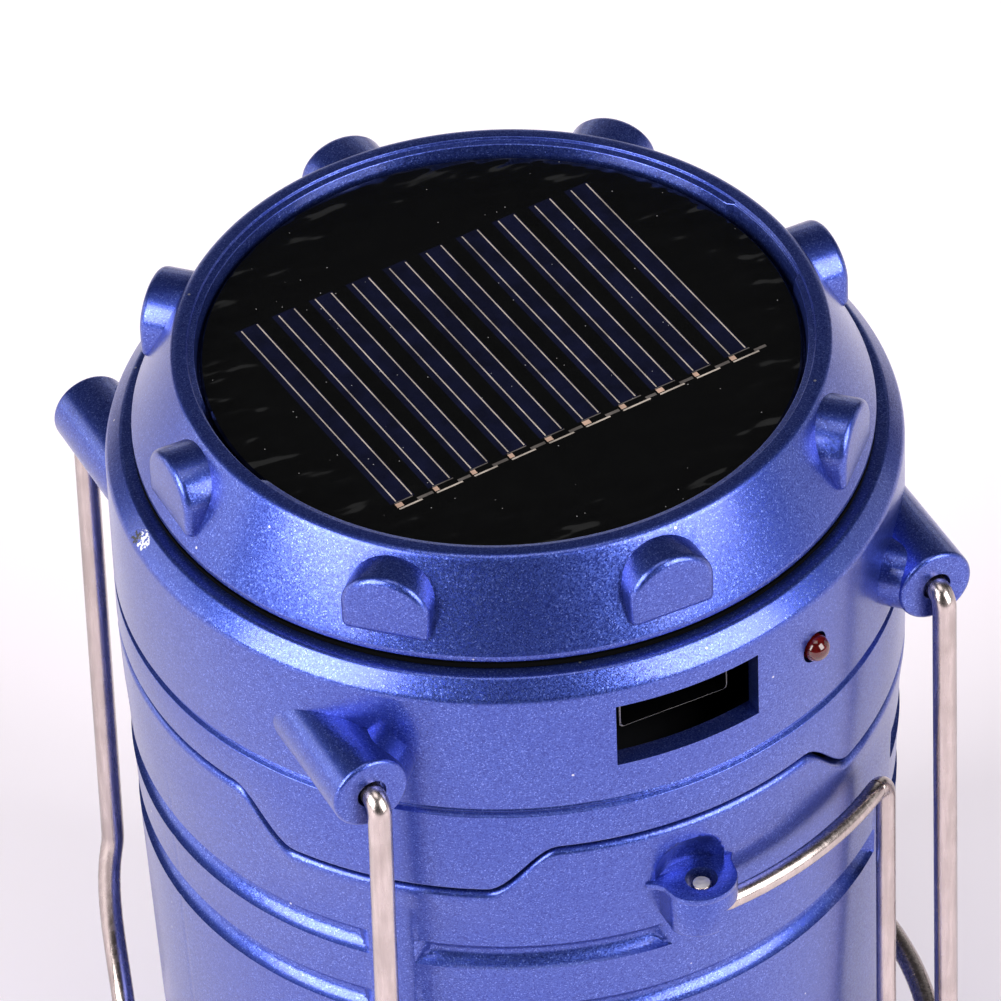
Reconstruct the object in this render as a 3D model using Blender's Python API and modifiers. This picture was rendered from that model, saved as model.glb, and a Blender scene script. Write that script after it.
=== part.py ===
"""Collapsible solar lantern, modelled closed, standing on its torch end.

The frame is in metres with +Z up, the origin on the floor under the middle,
and the USB socket facing -Y. Dimensions are written in millimetres and
multiplied by MM where they become geometry.
"""

import math

import bmesh
import bpy
from mathutils import Matrix, Vector

MM = 0.001

# Driving dimensions of the body (mm)
BODY_R = 43.0
WALL = 2.2
RIM_TOP = 125.0
TRAVEL = 55.0
GAP = 0.3
PART_LINE = 0.4
TAPER = math.tan(math.radians(2.0))

# Head: cap, panel and collar
RIM_R = 35.1
PANEL_R = 32.2
PANEL_TOP = 123.3
PANEL_THICK = 2.5
CAP_R = 40.0
CAP_LIP = 114.6
SKIRT_R = 38.9
SKIRT_INNER = 36.0
SKIRT_BOTTOM = 111.0
COLLAR_TOP = 113.5
COLLAR_EDGE = 111.5
COLLAR_INNER = 39.6
COLLAR_LIP_R = 41.2
GASKET_R = 39.95
SHELF_TOP = 110.7
SHELF_BOTTOM = 108.4
SHELF_R = 35.2
GROOVE_Z = 95.8
BUMP_COUNT = 8
FLANK_LOW = 115.9
BUMP_W = 9.8
BUMP_R = 39.7
BUMP_LOW = 116.5
BUMP_HIGH = 124.2
BUMP_CROWN = 4.4

# Parting line between head and lower casing: low tabs joined by eased steps
LINE_HIGH = 90.1
LINE_LOW = 84.2
TAB_ANGLE = 45.0
TAB_FLAT = 14.5
TAB_END = 25.0

# Bail bosses and wire bails
BOSS_X = 33.6
BOSS_END = 35.2
BOSS_Z = 102.4
BOSS_R = 4.3
STUB_R = 3.8
STUB_END = 45.0
BAIL_R = 1.3
BAIL_HOLE_R = 1.4
BAIL_LEG_Y = 36.9
BAIL_PIN_Y = 28.6
BAIL_BEND_Z = 36.0
BAIL_KNEE_Z = 21.0
BAIL_KNEE_X = 39.6
BAIL_KNEE_Y = 33.0
BAIL_GRIP_R = 46.3
BAIL_GRIP_Z = 16.5

# USB socket and charge light
USB_Z = 105.1
USB_WINDOW = (16.8, 8.3)
USB_SHELL = (13.2, 14.0, 5.8)
USB_FRONT = 39.0
LIGHT_ANGLE = 22.5
LIGHT_Z = 104.9
LIGHT_R = 1.5

# Battery, boards and the screws that hold them (mm)
BOARD_SIZE = (44.0, 25.0, 1.6)
BOARD_Y = -20.5
BOARD_Z = 101.4
POST_R = 2.2
CELL_R = 9.2
CELL_LENGTH = 65.0
CELL_Y = 4.0
CELL_Z = 105.6
CRADLE_SIZE = (66.0, 20.0, 5.0)
TAB_SIZE = (0.4, 7.0, 12.0)
CAP_SCREW_RING = 37.45
CAP_SCREW_TOP = 115.0
CAP_SCREW_ANGLE = 22.5
BASE_SCREW_RING = 35.0
BASE_SCREW_TOP = 14.4
BASE_SCREW_ANGLE = 60.0
SCREW_R = 0.9
BORE_R = 1.15

# Lower casing, its channels and the torch end
CASING_BOTTOM = 12.4
CHANNEL_Z = (73.9, 64.7, 30.0, 20.8)
CHANNEL_H = 3.5
CHANNEL_DEPTH = 1.0
CHANNEL_GAP_ANGLE = 3.5
CHANNEL_TAB_ANGLE = 2.0
HANDLE_CHANNEL_Z = 70.0
BEZEL_TOP = 12.0
BEZEL_R = 41.6
BEZEL_SINK = 2.6
RING_INNER = 28.0
RING_OUTER = 39.2
LENS_R = 27.9
MOUNT_R = 37.0

# Side handle and its lugs
LUG_Y = 44.5
LUG_TOP = 82.6
LUG_HEIGHT = 5.5
LUG_HALF = 4.0
HANDLE_R = 1.1
HANDLE_HOLE_R = 1.2
HANDLE_RUN_R = 45.0
HANDLE_ANGLE = 36.6
HANDLE_TOP = 78.4
HANDLE_LOW = 16.8
HANDLE_PIN = 3.6
HANDLE_SWING = 55.0

# Push button
BUTTON_ANGLE = 7.6
BUTTON_Z = 52.0
BUTTON_R = 4.5
BUTTON_FACE = 43.3
BUTTON_FLANGE = 38.6
BUTTON_FLANGE_R = 5.7
BUTTON_BACK = 37.9
SWITCH_SIZE = (8.0, 2.2, 8.0)
SWITCH_MIDDLE = 35.2

# Lamp tube and the guide it slides in
TUBE_R = 31.0
TUBE_WALL = 1.5
FLANGE_R = 33.4
FLANGE_TOP = 24.2
TUBE_BOTTOM = 22.2
DECK_BOTTOM = 93.0
DECK_TOP = 95.0
DECK_R = 40.2
BASE_TOP = 24.4
CONE_TOP = 66.0
CONE_R = 28.0
LAMP_BOARD_R = 27.5
LAMP_BOARD_BOTTOM = 90.9
LED_RING = 18.0
LED_R = 2.5
GUIDE_R = 31.3
GUIDE_BOTTOM = FLANGE_TOP + TRAVEL + GAP
GUIDE_TOP = GUIDE_BOTTOM + 3.0

FINE = 72
MEDIUM = 32
COARSE = 20
SMALL = 12
WIRE_RESOLUTION = 2


def clear_scene():
    for obj in list(bpy.data.objects):
        bpy.data.objects.remove(obj, do_unlink=True)


def new_collection(name):
    collection = bpy.data.collections.new(name)
    bpy.context.scene.collection.children.link(collection)
    return collection


clear_scene()
PARTS = new_collection("solar_lantern")
CUTTERS = new_collection("cutters")


def material(name, color, roughness, metallic=0.0, transmission=0.0):
    mat = bpy.data.materials.new(name)
    mat.use_nodes = True
    shader = mat.node_tree.nodes["Principled BSDF"]
    shader.inputs["Base Color"].default_value = (*color, 1.0)
    shader.inputs["Roughness"].default_value = roughness
    shader.inputs["Metallic"].default_value = metallic
    shader.inputs["Transmission Weight"].default_value = transmission
    return mat


def point(radius, angle, z):
    """A point at an angle in degrees from the front (-Y) towards +X."""
    a = math.radians(angle)
    return Vector((radius * math.sin(a), -radius * math.cos(a), z))


def add_object(name, data, collection=PARTS):
    obj = bpy.data.objects.new(name, data)
    collection.objects.link(obj)
    return obj


def bake(obj):
    """Replace an object's mesh by its evaluated one and drop the modifiers."""
    bpy.context.view_layer.update()
    evaluated = obj.evaluated_get(bpy.context.evaluated_depsgraph_get())
    mesh = bpy.data.meshes.new_from_object(evaluated)
    obj.modifiers.clear()
    obj.data = mesh
    return obj


def turned(name, profile, steps=FINE):
    """Turn a profile of (radius, z) about Z. One that is off the axis is a ring."""
    on_axis = profile[0][0] == 0.0 and profile[-1][0] == 0.0
    verts = [(r * MM, 0.0, z * MM) for r, z in profile]
    edges = [(i, i + 1) for i in range(len(verts) - 1)]
    if not on_axis:
        edges.append((len(verts) - 1, 0))
    mesh = bpy.data.meshes.new(name)
    mesh.from_pydata(verts, edges, [])
    obj = add_object(name, mesh)
    screw = obj.modifiers.new("turn", "SCREW")
    screw.angle = math.radians(360.0)
    screw.steps = steps
    screw.render_steps = steps
    screw.use_merge_vertices = on_axis
    screw.merge_threshold = 0.00001
    return bake(obj)


def box(name, size, center):
    bpy.ops.mesh.primitive_cube_add(size=1.0)
    obj = take_active(name)
    obj.data.transform(Matrix.Diagonal((*[s * MM for s in size], 1.0)))
    obj.location = Vector(center) * MM
    return obj


def cylinder(name, radius, length, center, direction=(0, 0, 1), sides=COARSE):
    bpy.ops.mesh.primitive_cylinder_add(vertices=sides, radius=radius * MM, depth=length * MM)
    obj = take_active(name)
    turn = Vector(direction).to_track_quat("Z", "Y")
    obj.data.transform(turn.to_matrix().to_4x4())
    obj.location = Vector(center) * MM
    return obj


def take_active(name):
    """Name the primitive just added and move it to the parts' collection."""
    obj = bpy.context.active_object
    obj.name = name
    obj.data.name = name
    for collection in list(obj.users_collection):
        collection.objects.unlink(obj)
    PARTS.objects.link(obj)
    return obj


def slab(name, outline, low, high):
    """A flat outline of (x, y) points, extruded from height low to high."""
    curve = bpy.data.curves.new(name, "CURVE")
    curve.dimensions = "2D"
    curve.fill_mode = "BOTH"
    curve.extrude = (high - low) / 2 * MM
    spline = curve.splines.new("POLY")
    spline.points.add(len(outline) - 1)
    for target, (x, y) in zip(spline.points, outline):
        target.co = (x * MM, y * MM, 0.0, 1.0)
    spline.use_cyclic_u = True
    obj = add_object(name, curve)
    obj.location.z = (high + low) / 2 * MM
    return meshed(obj)


def wire(name, points, radius):
    """A round wire along a list of points."""
    curve = bpy.data.curves.new(name, "CURVE")
    curve.dimensions = "3D"
    curve.bevel_depth = radius * MM
    curve.bevel_resolution = WIRE_RESOLUTION
    curve.use_fill_caps = True
    spline = curve.splines.new("POLY")
    spline.points.add(len(points) - 1)
    for target, place in zip(spline.points, points):
        target.co = (*(Vector(place) * MM), 1.0)
    return meshed(add_object(name, curve))


def meshed(curve_object):
    """Turn a curve object into a mesh object with its caps welded on."""
    bpy.context.view_layer.update()
    evaluated = curve_object.evaluated_get(bpy.context.evaluated_depsgraph_get())
    mesh = bpy.data.meshes.new_from_object(evaluated)
    bm = bmesh.new()
    bm.from_mesh(mesh)
    bmesh.ops.remove_doubles(bm, verts=bm.verts, dist=0.000005)
    bmesh.ops.recalc_face_normals(bm, faces=bm.faces)
    bm.to_mesh(mesh)
    bm.free()
    name = curve_object.name
    place = curve_object.matrix_world.copy()
    bpy.data.objects.remove(curve_object, do_unlink=True)
    obj = add_object(name, mesh)
    obj.matrix_world = place
    return obj


def hide_cutter(obj):
    obj.hide_render = True
    obj.display_type = "WIRE"
    if obj.name not in CUTTERS.objects:
        CUTTERS.objects.link(obj)
        PARTS.objects.unlink(obj)


def combine(obj, other, operation):
    modifier = obj.modifiers.new(operation.lower(), "BOOLEAN")
    modifier.operation = operation
    modifier.solver = "EXACT"
    modifier.object = other
    hide_cutter(other)
    bake(obj)
    weld(obj.data)
    return obj


def weld(mesh):
    """Merge the near-coincident points that a Boolean leaves on shared edges."""
    bm = bmesh.new()
    bm.from_mesh(mesh)
    bmesh.ops.remove_doubles(bm, verts=bm.verts, dist=0.000002)
    bmesh.ops.dissolve_degenerate(bm, edges=bm.edges, dist=0.000001)
    bm.to_mesh(mesh)
    bm.free()


def cut(obj, cutter):
    return combine(obj, cutter, "DIFFERENCE")


def join(obj, other):
    return combine(obj, other, "UNION")


def finish(obj, mat, sharp=30.0):
    """Bake the modifiers, shade round faces smooth and set the material."""
    bake(obj)
    obj.data.shade_smooth()
    obj.data.set_sharp_from_angle(angle=math.radians(sharp))
    obj.data.materials.clear()
    obj.data.materials.append(mat)
    return obj


def mirrored(obj, name):
    """A mirror image of an object about the plane x = 0."""
    mesh = obj.data.copy()
    mesh.transform(obj.matrix_world)
    mesh.transform(Matrix.Diagonal((-1.0, 1.0, 1.0, 1.0)))
    mesh.flip_normals()
    return add_object(name, mesh)


def ring_places(radius, first, count):
    """Evenly spaced places on a circle, from the first one's angle."""
    return [point(radius, first + 360.0 * i / count, 0.0) for i in range(count)]


def bores(name, radius, low, high, places):
    """One cutter of upright bores from height low to high."""
    cutter = None
    for place in places:
        middle = place + Vector((0.0, 0.0, (low + high) / 2))
        bore = cylinder(name, radius, high - low, middle, sides=SMALL)
        if cutter is None:
            cutter = bore
        else:
            join(cutter, bore)
    return cutter


def copies(obj, stem, places):
    """Put an object at the first place, with numbered copies at the others."""
    obj.location = places[0] * MM
    twins = [obj]
    for i, place in enumerate(places[1:], start=2):
        twin = add_object(f"{stem}_{i}", obj.data)
        twin.location = place * MM
        twins.append(twin)
    return twins


CAP_SCREWS = ring_places(CAP_SCREW_RING, CAP_SCREW_ANGLE, 4)
BASE_SCREWS = ring_places(BASE_SCREW_RING, BASE_SCREW_ANGLE, 3)


def fillet(points, radii, steps=4):
    """Round the inner corners of a path with arcs, one radius for each corner."""
    path = [Vector(points[0])]
    for before, corner, after, radius in zip(points, points[1:], points[2:], radii):
        corner = Vector(corner)
        to_before = (Vector(before) - corner).normalized()
        to_after = (Vector(after) - corner).normalized()
        half = to_before.angle(to_after) / 2
        reach = radius / math.tan(half)
        middle = (to_before + to_after).normalized() * (radius / math.sin(half))
        start = (to_before * reach - middle).normalized()
        end = (to_after * reach - middle).normalized()
        for i in range(steps + 1):
            path.append(corner + middle + start.slerp(end, i / steps) * radius)
    path.append(Vector(points[-1]))
    return path


# Colours

BLUE = material("metallic_blue_paint", (0.055, 0.075, 0.42), 0.32, 0.75)
BLACK = material("black_plastic", (0.012, 0.012, 0.014), 0.4)
RESIN = material("panel_resin", (0.008, 0.009, 0.016), 0.08)
STEEL = material("stainless_wire", (0.66, 0.63, 0.58), 0.28, 1.0)
CHROME = material("chrome_plating", (0.85, 0.86, 0.88), 0.06, 1.0)
CLEAR = material("clear_plastic", (0.95, 0.97, 1.0), 0.05, 0.0, 0.9)
WHITE = material("white_plastic", (0.8, 0.8, 0.78), 0.5)
BOARD = material("circuit_board", (0.02, 0.16, 0.06), 0.45)
RED = material("red_light", (0.35, 0.01, 0.01), 0.12, 0.0, 0.3)
LAMP = material("lamp_light", (0.95, 0.92, 0.7), 0.2, 0.0, 0.4)
CELL = material("cell_sleeve", (0.03, 0.2, 0.4), 0.35)
NICKEL = material("nickel_strip", (0.6, 0.58, 0.55), 0.3, 1.0)
ZINC = material("zinc_screw", (0.5, 0.5, 0.52), 0.35, 1.0)
RUBBER = material("black_rubber", (0.01, 0.01, 0.01), 0.8)


def parting_height(x, y):
    """Height of the parting line at a place on the wall."""
    angle = math.degrees(math.atan2(x, -y))
    off_tab = abs((angle - TAB_ANGLE + 45.0) % 90.0 - 45.0)
    share = min(max((off_tab - TAB_FLAT) / (TAB_END - TAB_FLAT), 0.0), 1.0)
    eased = share * share * (3.0 - 2.0 * share)
    return LINE_LOW + (LINE_HIGH - LINE_LOW) * eased


def triangulate(mesh):
    """Split faces that are no longer flat, so that Booleans read them safely."""
    bm = bmesh.new()
    bm.from_mesh(mesh)
    bmesh.ops.triangulate(bm, faces=bm.faces)
    bm.to_mesh(mesh)
    bm.free()


def follow_parting_line(obj, offset):
    """Move the rim that was turned at LINE_HIGH onto the parting line."""
    for vert in obj.data.vertices:
        if abs(vert.co.z - LINE_HIGH * MM) < 0.00001 and vert.co.xy.length > 0.001:
            vert.co.z = (parting_height(vert.co.x, vert.co.y) + offset) * MM
    triangulate(obj.data)


def casing_radius(z):
    return BODY_R - max(LINE_HIGH - z, 0.0) * TAPER


def button_direction():
    return point(1.0, BUTTON_ANGLE, 0.0)


# Head

def make_solar_cap():
    seat = PANEL_TOP - PANEL_THICK - GAP
    profile = [
        (33.3, RIM_TOP), (RIM_R - 0.4, RIM_TOP), (RIM_R, RIM_TOP - 0.4),
        (39.8, FLANK_LOW), (CAP_R, FLANK_LOW - 0.5), (CAP_R, CAP_LIP),
        (SKIRT_R, CAP_LIP), (SKIRT_R, SKIRT_BOTTOM), (SKIRT_INNER, SKIRT_BOTTOM),
        (SKIRT_INNER, 115.6), (33.0, 118.0), (29.0, 118.2), (29.0, seat),
        (PANEL_R + GAP, seat), (PANEL_R + GAP, PANEL_TOP),
    ]
    cap = turned("solar_cap", profile)
    for i in range(BUMP_COUNT):
        join(cap, make_bump(i * 360.0 / BUMP_COUNT))
    cut(cap, bores("cap_bore", BORE_R, SHELF_TOP - 1.0, CAP_SCREW_TOP + GAP, CAP_SCREWS))
    return finish(cap, BLUE)


def make_bump(angle):
    """A D-shaped bump: flat below, a round crown above, flat outer face."""
    half = BUMP_W / 2
    shoulder = BUMP_HIGH - BUMP_CROWN
    outline = [(-half, BUMP_LOW), (half, BUMP_LOW)]
    for i in range(13):
        a = math.pi * i / 12
        outline.append((half * math.cos(a), shoulder + BUMP_CROWN * math.sin(a)))
    bump = slab("bump", outline, 33.9, BUMP_R)
    bump.data.transform(bump.matrix_world)
    bump.matrix_world = Matrix.Identity(4)
    bump.data.transform(Matrix.Rotation(math.radians(90.0), 4, "X"))
    bump.data.transform(Matrix.Rotation(math.radians(angle), 4, "Z"))
    return bump


def make_gasket():
    """Black ring in the gap between the cap's lip and the collar."""
    low = COLLAR_TOP + GAP
    high = CAP_LIP - GAP
    inner = SKIRT_R + GAP
    profile = [(GASKET_R, high), (GASKET_R, low), (inner, low), (inner, high)]
    return finish(turned("cap_gasket", profile), RUBBER)


def make_panel():
    profile = [
        (0.0, PANEL_TOP), (PANEL_R - 0.3, PANEL_TOP), (PANEL_R, PANEL_TOP - 0.3),
        (PANEL_R, PANEL_TOP - PANEL_THICK), (0.0, PANEL_TOP - PANEL_THICK),
    ]
    return finish(turned("solar_panel", profile), RESIN)


def make_housing():
    outside = [
        (0.0, COLLAR_TOP), (COLLAR_LIP_R, COLLAR_TOP), (BODY_R, COLLAR_EDGE),
        (BODY_R, GROOVE_Z + 0.6), (BODY_R - 0.6, GROOVE_Z + 0.2),
        (BODY_R - 0.6, GROOVE_Z - 0.2), (BODY_R, GROOVE_Z - 0.6),
        (BODY_R, LINE_HIGH), (0.0, LINE_HIGH),
    ]
    inner = BODY_R - WALL
    cavity = [
        (0.0, COLLAR_TOP + 5.0), (COLLAR_INNER, COLLAR_TOP + 5.0), (COLLAR_INNER, SHELF_TOP),
        (SHELF_R, SHELF_TOP), (SHELF_R, SHELF_BOTTOM), (inner, SHELF_BOTTOM),
        (inner, LINE_LOW - 20.0), (0.0, LINE_LOW - 20.0),
    ]
    housing = turned("head_housing", outside)
    follow_parting_line(housing, PART_LINE / 2)
    for x in (-BOSS_X, BOSS_X):
        barrel = cylinder("boss_barrel", BOSS_R, 2 * BOSS_END, (x, 0.0, BOSS_Z), (0, 1, 0))
        join(housing, barrel)
    for angle in (45.0, 135.0):
        along = point(1.0, angle, 0.0)
        stub = cylinder("boss_stub", STUB_R, 2 * STUB_END, (0.0, 0.0, BOSS_Z), along)
        join(housing, stub)
    cut(housing, turned("head_cavity", cavity))
    for x in (-BOSS_X, BOSS_X):
        for side in (-1, 1):
            middle = side * (BOSS_END + BAIL_PIN_Y - 1.0) / 2
            depth = BOSS_END - BAIL_PIN_Y + 3.0
            hole = cylinder("bail_hole", BAIL_HOLE_R, depth, (x, middle, BOSS_Z), (0, 1, 0))
            cut(housing, hole)
    window = box("usb_window", (USB_WINDOW[0], 10.0, USB_WINDOW[1]), (0.0, -BODY_R, USB_Z))
    cut(housing, window)
    light = cylinder(
        "light_hole", LIGHT_R + 0.15, 10.0, point(BODY_R, LIGHT_ANGLE, LIGHT_Z),
        point(1.0, LIGHT_ANGLE, 0.0))
    cut(housing, light)
    cut(housing, bores("shelf_bore", BORE_R, SHELF_BOTTOM - 1.0, SHELF_TOP + 1.0, CAP_SCREWS))
    return finish(housing, BLUE)


def make_cap_screws():
    head = SHELF_BOTTOM - GAP
    low = head - 1.4
    profile = [
        (0.0, CAP_SCREW_TOP), (SCREW_R, CAP_SCREW_TOP), (SCREW_R, head),
        (2 * SCREW_R, head), (2 * SCREW_R, low), (0.0, low),
    ]
    first = finish(turned("cap_screw_1", profile, SMALL), ZINC)
    return copies(first, "cap_screw", CAP_SCREWS)


def make_deck():
    """Floor of the head, with four posts that carry the main board."""
    profile = [
        (0.0, DECK_TOP), (DECK_R, DECK_TOP), (DECK_R, DECK_BOTTOM), (0.0, DECK_BOTTOM),
    ]
    deck = turned("head_deck", profile, MEDIUM)
    low = DECK_TOP - 0.6
    high = BOARD_Z - BOARD_SIZE[2] / 2 - GAP
    for x in (-18.0, 18.0):
        for y in (BOARD_Y - 8.0, BOARD_Y + 8.0):
            place = (x, y, (low + high) / 2)
            join(deck, cylinder("board_post", POST_R, high - low, place, sides=SMALL))
    return finish(deck, WHITE)


def make_main_board():
    return finish(box("main_board", BOARD_SIZE, (0.0, BOARD_Y, BOARD_Z)), BOARD)


def make_usb_socket():
    width, depth, height = USB_SHELL
    middle = -USB_FRONT + depth / 2
    z = BOARD_Z + BOARD_SIZE[2] / 2 + GAP + height / 2
    shell = box("usb_shell", USB_SHELL, (0.0, middle, z))
    cut(shell, box("usb_mouth", (width - 0.8, depth, height - 0.8), (0.0, middle - 0.8, z)))
    tongue = box("usb_tongue", (11.2, 9.0, 1.8), (0.0, middle + 1.2, z + 1.0))
    return finish(shell, NICKEL), finish(tongue, WHITE)


def make_charge_light():
    profile = [(0.0, 5.6)]
    for i in range(1, 5):
        a = math.radians(90.0 - 22.5 * i)
        profile.append((LIGHT_R * math.cos(a), 4.1 + LIGHT_R * math.sin(a)))
    profile += [(LIGHT_R, 0.0), (0.0, 0.0)]
    light = turned("charge_light", profile, 20)
    turn = point(1.0, LIGHT_ANGLE, 0.0).to_track_quat("Z", "Y")
    light.data.transform(turn.to_matrix().to_4x4())
    light.location = point(BODY_R - 4.0, LIGHT_ANGLE, LIGHT_Z) * MM
    return finish(light, RED)


def make_battery():
    axis = (0.0, CELL_Y, CELL_Z)
    cradle = box("battery_cradle", CRADLE_SIZE, (0.0, CELL_Y, DECK_TOP + GAP + CRADLE_SIZE[2] / 2))
    cut(cradle, cylinder("cradle_trough", CELL_R + GAP, 2 * CELL_LENGTH, axis, (1, 0, 0)))
    cell = cylinder("battery_cell", CELL_R, CELL_LENGTH, axis, (1, 0, 0))
    pieces = [finish(cradle, WHITE), finish(cell, CELL)]
    tab_x = CRADLE_SIZE[0] / 2 + GAP + TAB_SIZE[0] / 2
    for name, x in (("battery_tab_left", -tab_x), ("battery_tab_right", tab_x)):
        pieces.append(finish(box(name, TAB_SIZE, (x, CELL_Y, CELL_Z - 1.6)), NICKEL))
    return pieces


# Lamp, which hangs under the deck and slides with the head

def make_lamp_tube():
    top = DECK_BOTTOM - GAP
    inner = TUBE_R - TUBE_WALL
    profile = [
        (34.0, top), (34.0, top - 1.5), (TUBE_R, top - 1.5), (TUBE_R, FLANGE_TOP),
        (FLANGE_R, FLANGE_TOP), (FLANGE_R, TUBE_BOTTOM), (inner, TUBE_BOTTOM), (inner, top),
    ]
    return finish(turned("lamp_tube", profile, MEDIUM), CLEAR)


def make_tube_base():
    outer = TUBE_R - TUBE_WALL - 0.4
    profile = [(0.0, BASE_TOP), (outer, BASE_TOP), (outer, TUBE_BOTTOM), (0.0, TUBE_BOTTOM)]
    return finish(turned("tube_base", profile, MEDIUM), WHITE)


def make_lamp_cone():
    """A thin chrome cone with hollowed flanks, its tip towards the LEDs."""
    low = BASE_TOP + GAP
    outer = []
    for i in range(7):
        share = i / 6
        outer.append((1.0 + (CONE_R - 1.0) * share ** 1.6, CONE_TOP - (CONE_TOP - low) * share))
    inner = [(r - 1.0, max(z - 1.4, low)) for r, z in reversed(outer[1:])]
    profile = [(0.0, CONE_TOP)] + outer + inner + [(0.0, CONE_TOP - 9.0)]
    return finish(turned("lamp_cone", profile, MEDIUM), CHROME)


def make_lamp_board():
    high = LAMP_BOARD_BOTTOM + 1.6
    profile = [
        (0.0, high), (LAMP_BOARD_R, high), (LAMP_BOARD_R, LAMP_BOARD_BOTTOM),
        (0.0, LAMP_BOARD_BOTTOM),
    ]
    return finish(turned("lamp_board", profile, MEDIUM), WHITE)


def make_lamp_leds():
    """Six round LEDs that hang from the lamp board, with domed ends."""
    top = LAMP_BOARD_BOTTOM - GAP
    dome = top - 4.1
    flange = LED_R + 0.4
    profile = [(0.0, top), (flange, top), (flange, top - 1.0), (LED_R, top - 1.0), (LED_R, dome)]
    for i in range(1, 3):
        a = math.radians(30.0 * i)
        profile.append((LED_R * math.cos(a), dome - 1.8 * math.sin(a)))
    profile.append((0.0, dome - 1.8))
    first = finish(turned("lamp_led_1", profile, SMALL), LAMP)
    return copies(first, "lamp_led", ring_places(LED_RING, 0.0, 6))


# Wires

def bail_half():
    """Path of the right bail from its front pin to the middle of its grip."""
    pin = (BOSS_X, -BAIL_PIN_Y, BOSS_Z)
    corner = (BOSS_X, -BAIL_LEG_Y, BOSS_Z)
    knee = (BOSS_X + 0.6, -BAIL_LEG_Y + 0.4, BAIL_BEND_Z)
    foot = (BAIL_KNEE_X, -BAIL_KNEE_Y, BAIL_KNEE_Z)
    path = fillet([pin, corner, knee, foot], [BAIL_LEG_Y - BOSS_END - 0.2, 6.0])[:-1]
    start = Vector(path[-1])
    grip = [point(BAIL_GRIP_R, 90.0 - 7.5 * i, BAIL_GRIP_Z) for i in range(4, -1, -1)]
    heading = (Vector(foot) - start).normalized()
    first = grip[0]
    leave = (grip[1] - grip[0]).normalized()
    reach = (first - start).length
    for i in range(1, 7):
        path.append(hermite(start, heading * reach, first, leave * reach, i / 7))
    return path + grip


def hermite(start, start_slope, end, end_slope, t):
    a = 2 * t ** 3 - 3 * t ** 2 + 1
    b = t ** 3 - 2 * t ** 2 + t
    c = -2 * t ** 3 + 3 * t ** 2
    d = t ** 3 - t ** 2
    return start * a + start_slope * b + end * c + end_slope * d


def make_bails():
    front = bail_half()
    back = [Vector((p.x, -p.y, p.z)) for p in reversed(front[:-1])]
    right = finish(wire("right_bail", front + back, BAIL_R), STEEL)
    left = finish(mirrored(right, "left_bail"), STEEL)
    return left, right


def make_side_handle():
    """Wire that runs round the wall from the upper lug, down, and back."""
    run_start = math.degrees(math.atan2(3.0, LUG_Y))
    upper = [Vector((0.0, -LUG_Y, z)) for z in (HANDLE_TOP + HANDLE_PIN, HANDLE_TOP)]
    steps = 6
    for i in range(steps + 1):
        angle = run_start + (HANDLE_ANGLE - run_start) * i / steps
        upper.append(point(HANDLE_RUN_R, angle, HANDLE_TOP))
    middle = (HANDLE_TOP + HANDLE_LOW) / 2
    upper.append(point(HANDLE_RUN_R, HANDLE_ANGLE, middle))
    head = fillet(upper[:3], [1.5], 3)[:-1]
    tail = fillet(upper[-3:], [2.6])[1:-1]
    half = head + upper[2:-2] + tail
    lower = [Vector((p.x, p.y, 2 * middle - p.z)) for p in reversed(half)]
    return finish(wire("side_handle", half + lower, HANDLE_R), STEEL)


# Lower casing and torch end

def make_casing():
    rib_top = GUIDE_BOTTOM - GAP
    profile = [(BODY_R, LINE_HIGH), (casing_radius(80.0), 80.0)]
    for z in CHANNEL_Z:
        profile += channel_section(z)
    profile += [
        (casing_radius(CASING_BOTTOM), CASING_BOTTOM), (32.0, CASING_BOTTOM), (32.0, 16.0),
        (casing_radius(16.0) - WALL, 16.0), (casing_radius(rib_top) - WALL, rib_top - 2.6),
        (37.8, rib_top - 1.6), (37.8, rib_top), (casing_radius(rib_top) - WALL, rib_top),
        (BODY_R - WALL, LINE_HIGH),
    ]
    casing = turned("lower_casing", profile)
    fill_channel_gaps(casing)
    follow_parting_line(casing, -PART_LINE / 2)
    join(casing, make_lug(LUG_TOP - LUG_HEIGHT, LUG_TOP))
    low = HANDLE_TOP + HANDLE_LOW - LUG_TOP
    join(casing, make_lug(low, low + LUG_HEIGHT))
    for cutter in lug_cutters():
        cut(casing, cutter)
    hole_at = button_direction() * BODY_R + Vector((0.0, 0.0, BUTTON_Z))
    cut(casing, cylinder("button_hole", BUTTON_R + GAP, 12.0, hole_at, button_direction()))
    cut(casing, bores("casing_bore", BORE_R, CASING_BOTTOM - 2.0, BASE_SCREW_TOP + GAP, BASE_SCREWS))
    return finish(casing, BLUE)


def make_lug(low, high):
    """Half-round lug for the end of the side handle."""
    root = -casing_radius(high) + WALL / 2
    outline = [(-LUG_HALF, root)]
    for i in range(13):
        a = math.pi + math.pi * i / 12
        outline.append((LUG_HALF * math.cos(a), -LUG_Y + (LUG_HALF - 0.6) * math.sin(a)))
    outline.append((LUG_HALF, root))
    return slab("lug", outline, low, high)


def lug_cutters():
    """Pin holes and wire slots of both lugs, and the scoop over the upper one."""
    middle = (HANDLE_TOP + HANDLE_LOW) / 2
    scoop_z = LUG_TOP + 2.3
    scoop = cylinder("scoop", 3.2, 5.2, (0.0, -LUG_Y, scoop_z))
    cutters = [scoop]
    for side in (1, -1):
        hole_z = middle + side * (LUG_TOP - middle)
        cutters.append(cylinder("pin_hole", HANDLE_HOLE_R, 8.0, (0.0, -LUG_Y, hole_z)))
        slot_top = middle + side * (HANDLE_TOP - middle + HANDLE_R + 0.35)
        slot_end = middle + side * (LUG_TOP - LUG_HEIGHT - middle - 2.0)
        cutters.append(make_slot(min(slot_top, slot_end), max(slot_top, slot_end)))
    return cutters


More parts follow.
